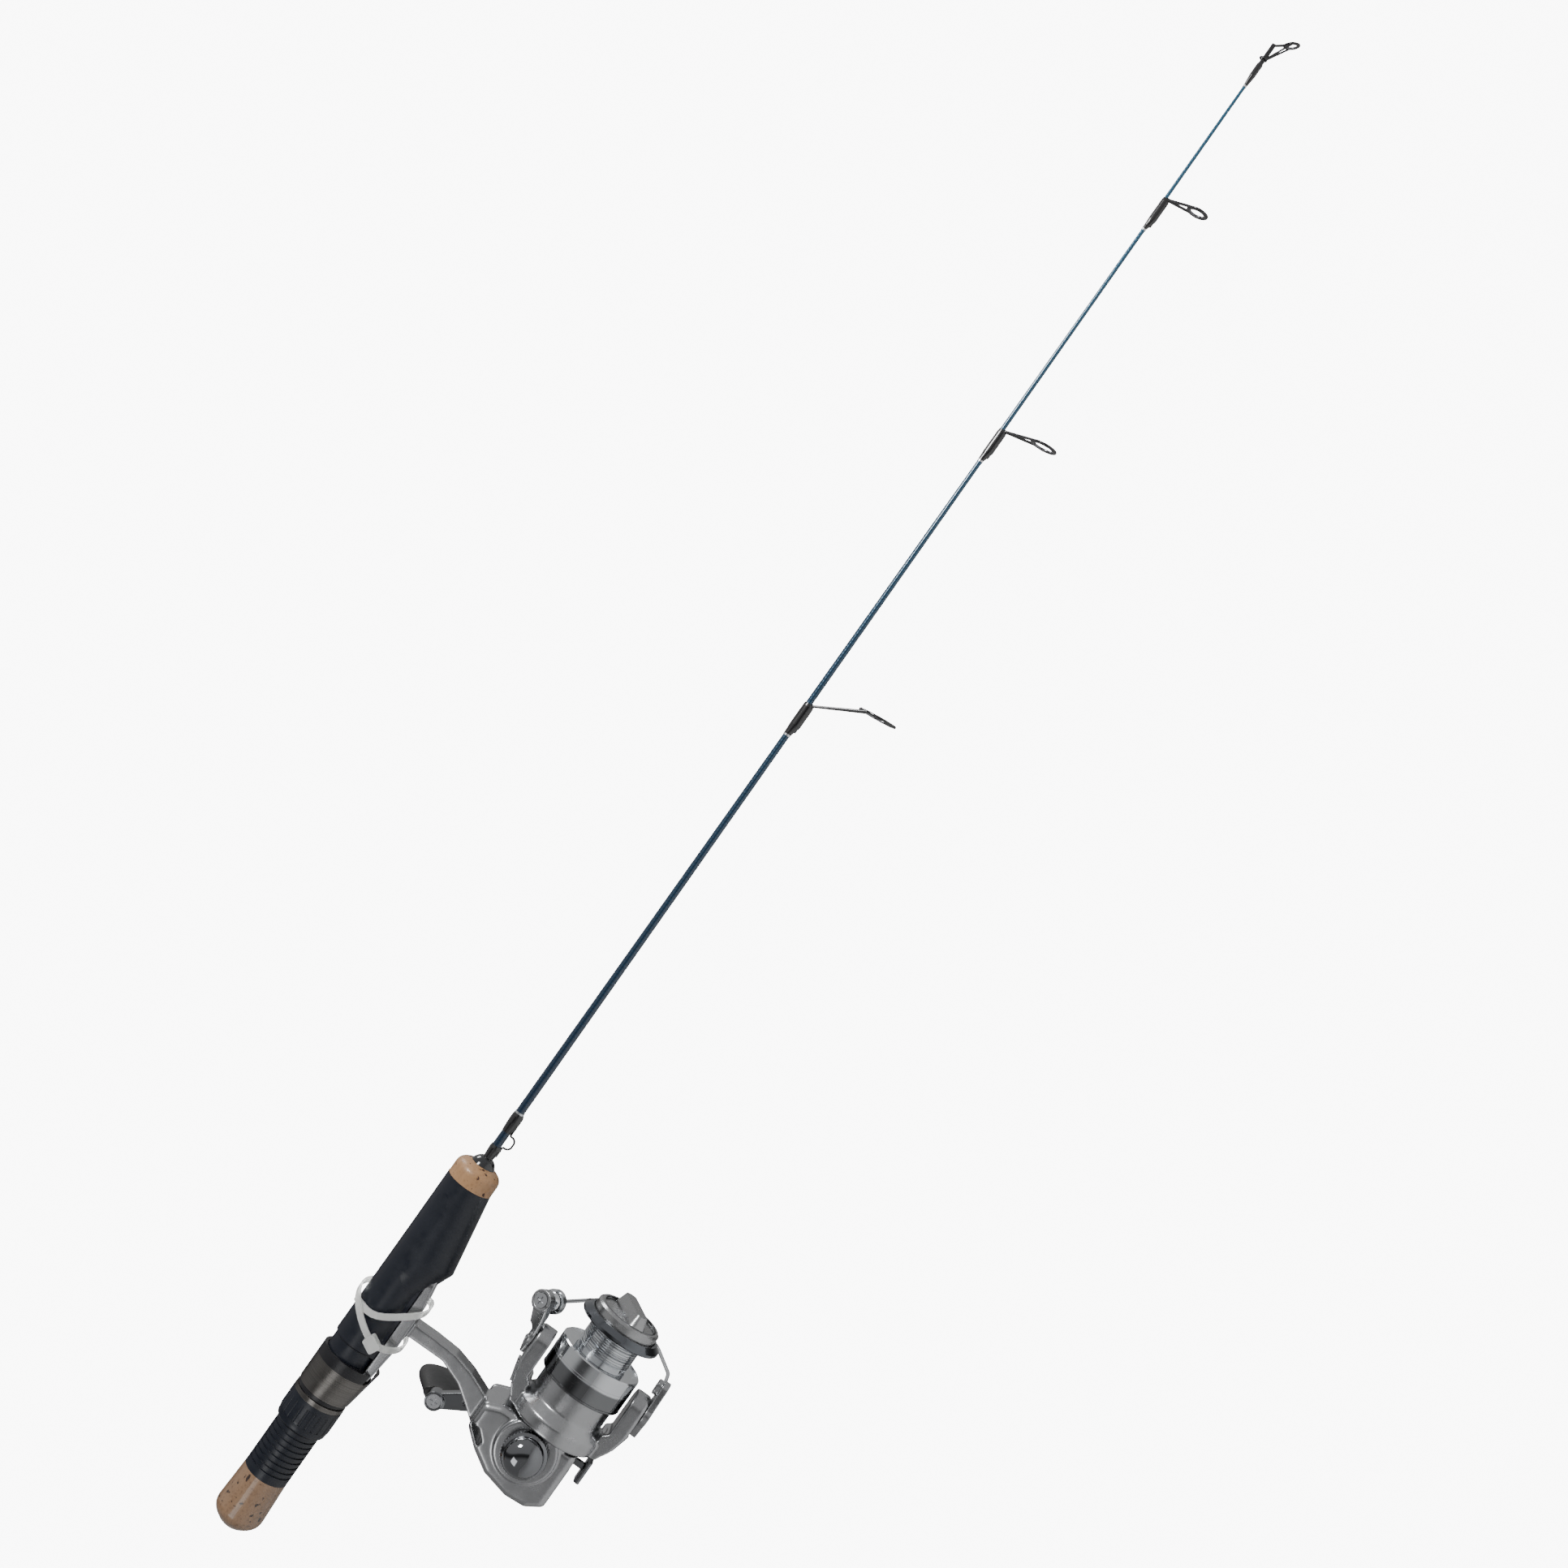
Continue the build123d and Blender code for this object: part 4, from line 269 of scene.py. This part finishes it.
def band_chrome():
    """Spool finish: polished chrome with a dark band round the rear half of the skirt and a dark lip."""
    finish = Finish("spool_chrome", (0.62, 0.64, 0.66), 0.09, 1.0)
    along = finish.axis(0)
    rear = SPOOL_LOW.x
    band_end = rear + 7.4 * MM
    lip_start = SPOOL_HIGH.x - 4.3 * MM
    length = SPOOL_HIGH.x - rear
    place = finish.remap(along, rear, SPOOL_HIGH.x, 0.0, 1.0)
    bright = (0.66, 0.68, 0.70)
    band = (0.17, 0.175, 0.18)
    lip = (0.14, 0.15, 0.165)
    edge = 0.004
    at_band = (band_end - rear) / length
    at_lip = (lip_start - rear) / length
    stops = [(0.0, band), (at_band - edge, band), (at_band, bright), (at_lip - edge, bright), (at_lip, lip)]
    colour = finish.ramp(place, stops)
    finish.colour(finish.mix(finish.noise(60.0, 4.0), colour, finish.mix(0.12, colour, (0.3, 0.3, 0.32))))
    turned = finish.noise(1.0, 2.0, (5200, 8, 8))
    finish.bump(turned, 0.00002, 0.25)
    finish.roughness(finish.noise(180.0), 0.06, 0.14)
    return finish.mat


FINISHES = {
    "cork_butt": cork(
        "cork_butt_varnished", (0.265, 0.158, 0.088), (0.135, 0.072, 0.038), (0.022, 0.010, 0.006), 0.8
    ),
    "cork_fore": cork(
        "cork_fore_varnished", (0.40, 0.225, 0.108), (0.27, 0.14, 0.062), (0.05, 0.02, 0.008), 0.25
    ),
    "blank_blue": blank_paint(),
    "thread_epoxy": epoxy_thread(),
    "trim_silver": metal("trim_silver_foil", (0.70, 0.72, 0.75), 0.25),
    "guide_black": plastic("guide_black_gloss", (0.008, 0.008, 0.009), 0.16, 0.00003, 0.6),
    "guide_ring_dark": metal("guide_ring_steel", (0.20, 0.20, 0.21), 0.15),
    "check_metal": plastic("check_black_gloss", (0.008, 0.009, 0.011), 0.12, 0.00002, 0.8),
    "seat_navy": plastic("seat_navy_satin", (0.0045, 0.0065, 0.0125), 0.36, 0.00006),
    "arbor_foam": plastic("arbor_foam", (0.30, 0.28, 0.24), 0.8, 0.0002),
    "hood_black": plastic("hood_black_satin", (0.006, 0.006, 0.008), 0.34, 0.00005),
    "gunmetal": metal("gunmetal_brushed", (0.150, 0.143, 0.135), 0.30, (2600, 14, 14)),
    "satin_silver": metal(
        "satin_silver_paint", (0.37, 0.375, 0.385), 0.24, grain=0.000004, coat=0.3, metallic=0.95
    ),
    "chrome": band_chrome(),
    "dark_chrome": metal("dark_chrome", (0.20, 0.205, 0.215), 0.07),
    "knob_silver": metal(
        "drag_knob_satin", (0.35, 0.355, 0.36), 0.26, grain=0.000004, coat=0.2, metallic=0.95
    ),
    "knob_black": plastic("knob_black_satin", (0.010, 0.010, 0.011), 0.40, 0.0001),
    "zinc_cast": metal("zinc_cast", (0.42, 0.43, 0.45), 0.5, grain=0.0001),
    "brass": metal("brass_machined", (0.62, 0.44, 0.18), 0.25, (3000, 30, 30)),
    "steel": metal("steel_polished", (0.55, 0.56, 0.58), 0.18),
    "acetal_white": plastic("acetal_white", (0.72, 0.71, 0.68), 0.45),
    "bushing_bronze": metal("bushing_bronze", (0.42, 0.27, 0.13), 0.4),
    "roller_chrome": metal("roller_chrome", (0.70, 0.72, 0.74), 0.10),
    "felt": plastic("drag_felt", (0.16, 0.15, 0.135), 0.95, 0.0003),
    "nylon_clear": nylon(),
}

for part in frame["record"]["subparts"]:
    shown = NODES[part["node"]]
    shown.data.materials.clear()
    shown.data.materials.append(FINISHES[part["material_slot"]])
    for face in shown.data.polygons:
        face.material_index = 0


# ---------------- pieces built here ----------------
def piece(name, mesh, body, slot):
    """Puts a finished mesh in the scene on a body, with a finish."""
    made = bpy.data.objects.new(name, mesh)
    bpy.context.scene.collection.objects.link(made)
    made.data.materials.append(FINISHES[slot])
    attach(made, body)
    return made


def shaded(name, built):
    """Mesh from a bmesh, with smooth faces."""
    bmesh.ops.recalc_face_normals(built, faces=built.faces)
    mesh = bpy.data.meshes.new(name)
    built.to_mesh(mesh)
    built.free()
    for face in mesh.polygons:
        face.use_smooth = True
    mesh.set_sharp_from_angle(angle=math.radians(35))
    return mesh


def rounded_bar(built, size, place, bevel):
    """Small box with rounded edges."""
    start = set(built.verts)
    bmesh.ops.create_cube(built, size=1.0, matrix=place @ Matrix.Diagonal((*size, 1)))
    corner_verts = [v for v in built.verts if v not in start]
    edges = {e for v in corner_verts for e in v.link_edges}
    bmesh.ops.bevel(built, geom=list(edges), offset=bevel, segments=2, affect="EDGES", profile=0.6)


def softened(node, body, voxel, rounds):
    """Cast or moulded piece with softened edges, made from the CAD shape and shown in its place."""
    source = NODES[node]
    made = bpy.data.objects.new(node + "_cast", source.data.copy())
    bpy.context.scene.collection.objects.link(made)
    made.matrix_world = source.matrix_world.copy()
    remesh = made.modifiers.new("remesh", "REMESH")
    remesh.mode = "VOXEL"
    remesh.voxel_size = voxel
    smooth = made.modifiers.new("smooth", "SMOOTH")
    smooth.factor = 0.5
    smooth.iterations = rounds
    thin = made.modifiers.new("thin", "DECIMATE")
    thin.ratio = 0.7
    settle = made.modifiers.new("settle", "SMOOTH")
    settle.factor = 0.5
    settle.iterations = 4
    shown = made.evaluated_get(bpy.context.evaluated_depsgraph_get())
    mesh = bpy.data.meshes.new_from_object(shown)
    made.modifiers.clear()
    made.data = mesh
    for face in mesh.polygons:
        face.use_smooth = True
    mesh.materials.clear()
    record_slot = next(p["material_slot"] for p in frame["record"]["subparts"] if p["node"] == node)
    mesh.materials.append(FINISHES[record_slot])
    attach(made, body)
    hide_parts(node)


# node, body, voxel size and rounds of smoothing
CAST_PIECES = [
    ("reel_body", "rod", 0.30 * MM, 22),
    ("side_cover", "rod", 0.30 * MM, 20),
    ("rotor", "rotor", 0.28 * MM, 20),
    ("crank_arm", "crank", 0.25 * MM, 12),
    ("bail_arm", "bail", 0.18 * MM, 10),
    ("bail_lever", "bail", 0.18 * MM, 10),
    ("handle_knob", "knob", 0.30 * MM, 14),
]
for cast in CAST_PIECES:
    softened(*cast)


KNURL_COUNT = 44
KNURL_RIDGE = (0.5 * MM, 2.8 * MM, 0.7 * MM)
KNURL_SINK = 0.05 * MM


def cap_knurl():
    """Ridges round the rim of the handle screw's cap."""
    radius = (CAP_HIGH.x - CAP_LOW.x) / 2
    rim_y = CAP_HIGH.y - 1.9 * MM
    built = bmesh.new()
    for number in range(KNURL_COUNT):
        turn = 2 * math.pi * number / KNURL_COUNT
        place = (
            Matrix.Translation((CRANK_AXIS.x, rim_y, CRANK_AXIS.z))
            @ Matrix.Rotation(turn, 4, "Y")
            @ Matrix.Translation((radius - KNURL_SINK, 0, 0))
        )
        rounded_bar(built, KNURL_RIDGE, place, 0.12 * MM)
    piece("cap_knurl", shaded("cap_knurl", built), "crank", "dark_chrome")


cap_knurl()


RING_SIDES = 96
# a ridge's section, as shares of its width along the axis and outwards
RIDGE_SECTION = [(-0.5, -0.6), (-0.35, 0.0), (-0.12, 0.25), (0.12, 0.25), (0.35, 0.0), (0.5, -0.6)]


def turned_rings(name, body, slot, rings):
    """Round ridges on the reel's axis, each given by its middle, its radius and its width."""
    built = bmesh.new()
    for x, radius, width in rings:
        loops = []
        for number in range(RING_SIDES):
            turn = 2 * math.pi * number / RING_SIDES
            loops.append([
                built.verts.new((
                    x + along * width,
                    SPOOL_AXIS.y + (radius + out * width) * math.cos(turn),
                    SPOOL_AXIS.z + (radius + out * width) * math.sin(turn),
                ))
                for along, out in RIDGE_SECTION
            ])
        for first, second in zip(loops, loops[1:] + loops[:1]):
            for place in range(len(RIDGE_SECTION)):
                after = (place + 1) % len(RIDGE_SECTION)
                built.faces.new((first[place], first[after], second[after], second[place]))
    piece(name, shaded(name, built), body, slot)


SPOOL_X = SPOOL_LOW.x
ARBOR_R = 11.0 * MM
SKIRT_R = (SPOOL_HIGH.z - SPOOL_LOW.z) / 2
RIDGE_PITCH = 0.95 * MM
RIDGE_COUNT = 10
RIDGE_WIDTH = 0.8 * MM
FIRST_RIDGE = SPOOL_X + 16.0 * MM
turned_rings(
    "arbor_ridges",
    "spool",
    "chrome",
    [
        (FIRST_RIDGE + number * RIDGE_PITCH, ARBOR_R + 0.15 * MM, RIDGE_WIDTH)
        for number in range(RIDGE_COUNT)
    ],
)
turned_rings(
    "skirt_beads",
    "spool",
    "chrome",
    [(SPOOL_X + place * MM, SKIRT_R - 0.02 * MM, 0.5 * MM) for place in (0.5, 7.6, 8.6)],
)
KNOB_R = (KNOB_HIGH.z - KNOB_LOW.z) / 2
turned_rings(
    "drag_knob_rim",
    "drag_knob",
    "dark_chrome",
    [(KNOB_HIGH.x - 4.7 * MM, KNOB_R - 1.9 * MM, 0.7 * MM)],
)


# ---------------- stage ----------------
def sheet(name, corners, shader_colour, glow=0.0):
    """Flat stage sheet."""
    mesh = bpy.data.meshes.new(name)
    mesh.from_pydata(corners, [], [(0, 1, 2, 3)])
    made = bpy.data.objects.new(name, mesh)
    bpy.context.scene.collection.objects.link(made)
    finish = Finish(name, shader_colour, 0.9)
    finish.worn(0.01, 3.0)
    if glow:
        finish.shader.inputs["Emission Color"].default_value = (1, 1, 1, 1)
        finish.shader.inputs["Emission Strength"].default_value = glow
        # the white ground is there for the camera, not for the object's reflections
        made.visible_glossy = False
        made.visible_diffuse = False
    made.data.materials.append(finish.mat)


FLOOR_Z = -0.62
sheet(
    "floor",
    [(-1.6, -2.0, FLOOR_Z), (2.3, -2.0, FLOOR_Z), (2.3, 0.3, FLOOR_Z), (-1.6, 0.3, FLOOR_Z)],
    (0.86, 0.86, 0.86),
)
BACK_Y = 2.6
sheet(
    "backdrop",
    [(-4.0, BACK_Y, -4.0), (4.8, BACK_Y, -4.0), (4.8, BACK_Y, 4.0), (-4.0, BACK_Y, 4.0)],
    (0.9, 0.9, 0.9),
    9.0,
)


def softbox(name, place, target, size, power):
    """Square area light aimed at a point."""
    light = bpy.data.lights.new(name, "AREA")
    light.shape = "RECTANGLE"
    light.size = size
    light.size_y = size
    light.energy = power
    made = bpy.data.objects.new(name, light)
    made.location = place
    made.rotation_mode = "QUATERNION"
    made.rotation_quaternion = (Vector(target) - Vector(place)).to_track_quat("-Z", "Y")
    bpy.context.scene.collection.objects.link(made)


REEL = (SPOOL_AXIS.x - 0.02, 0.0, SPOOL_AXIS.z)
# the photograph's own up is (0.82, 0, 0.58): the key stands above the rod in that sense
softbox("key", (0.75, -0.75, 0.75), (0.25, 0, -0.02), 0.32, 13.0)
softbox("fill", (-0.5, -0.9, 0.2), REEL, 0.4, 1.6)
softbox("rim", (0.9, 0.5, 0.9), (0.2, 0, -0.03), 0.4, 5.5)
softbox("side", (0.2, -0.5, -0.75), REEL, 0.25, 0.8)


def studio_world():
    """Grey room: pale above, darker below, so that chrome has something to show."""
    world = bpy.data.worlds.new("studio")
    world.use_nodes = True
    tree = world.node_tree
    coords = tree.nodes.new("ShaderNodeTexCoord")
    mapping = tree.nodes.new("ShaderNodeMapping")
    mapping.inputs["Rotation"].default_value = (0, math.radians(-55), 0)
    split = tree.nodes.new("ShaderNodeSeparateXYZ")
    ramp = tree.nodes.new("ShaderNodeValToRGB")
    span = tree.nodes.new("ShaderNodeMapRange")
    span.inputs["From Min"].default_value = -1.0
    tree.links.new(coords.outputs["Generated"], mapping.inputs["Vector"])
    tree.links.new(mapping.outputs["Vector"], split.inputs["Vector"])
    tree.links.new(split.outputs["Z"], span.inputs["Value"])
    tree.links.new(span.outputs["Result"], ramp.inputs["Fac"])
    elements = ramp.color_ramp.elements
    stops = [(0.0, 0.55), (0.38, 0.62), (0.47, 0.10), (0.54, 0.16), (0.60, 0.85), (1.0, 1.0)]
    while len(elements) < len(stops):
        elements.new(0.5)
    for element, (place, grey) in zip(elements, stops):
        element.position = place
        element.color = (grey, grey, grey, 1)
    background = tree.nodes["Background"]
    background.inputs["Strength"].default_value = 0.55
    tree.links.new(ramp.outputs["Color"], background.inputs["Color"])
    bpy.context.scene.world = world


studio_world()

# ---------------- camera ----------------
CAMERA_PLACE = (0.3598, -0.724, -0.0102)
IMAGE_RIGHT = Vector((0.5769, 0, -0.8168)).normalized()
IMAGE_UP = Vector((0.8168, 0, 0.5769)).normalized()
FOCAL_LENGTH = 42.63
SENSOR = 36.0


def photo_camera():
    """Camera square to the rod, rolled so that the rod rises to the right."""
    data = bpy.data.cameras.new("camera")
    data.sensor_width = SENSOR
    data.lens = FOCAL_LENGTH
    data.clip_start = 0.01
    data.clip_end = 50.0
    data.dof.use_dof = False
    made = bpy.data.objects.new("camera", data)
    back = IMAGE_RIGHT.cross(IMAGE_UP)
    turn = Matrix((IMAGE_RIGHT, IMAGE_UP, back)).transposed()
    made.matrix_world = Matrix.Translation(CAMERA_PLACE) @ turn.to_4x4()
    bpy.context.scene.collection.objects.link(made)
    bpy.context.scene.camera = made


photo_camera()
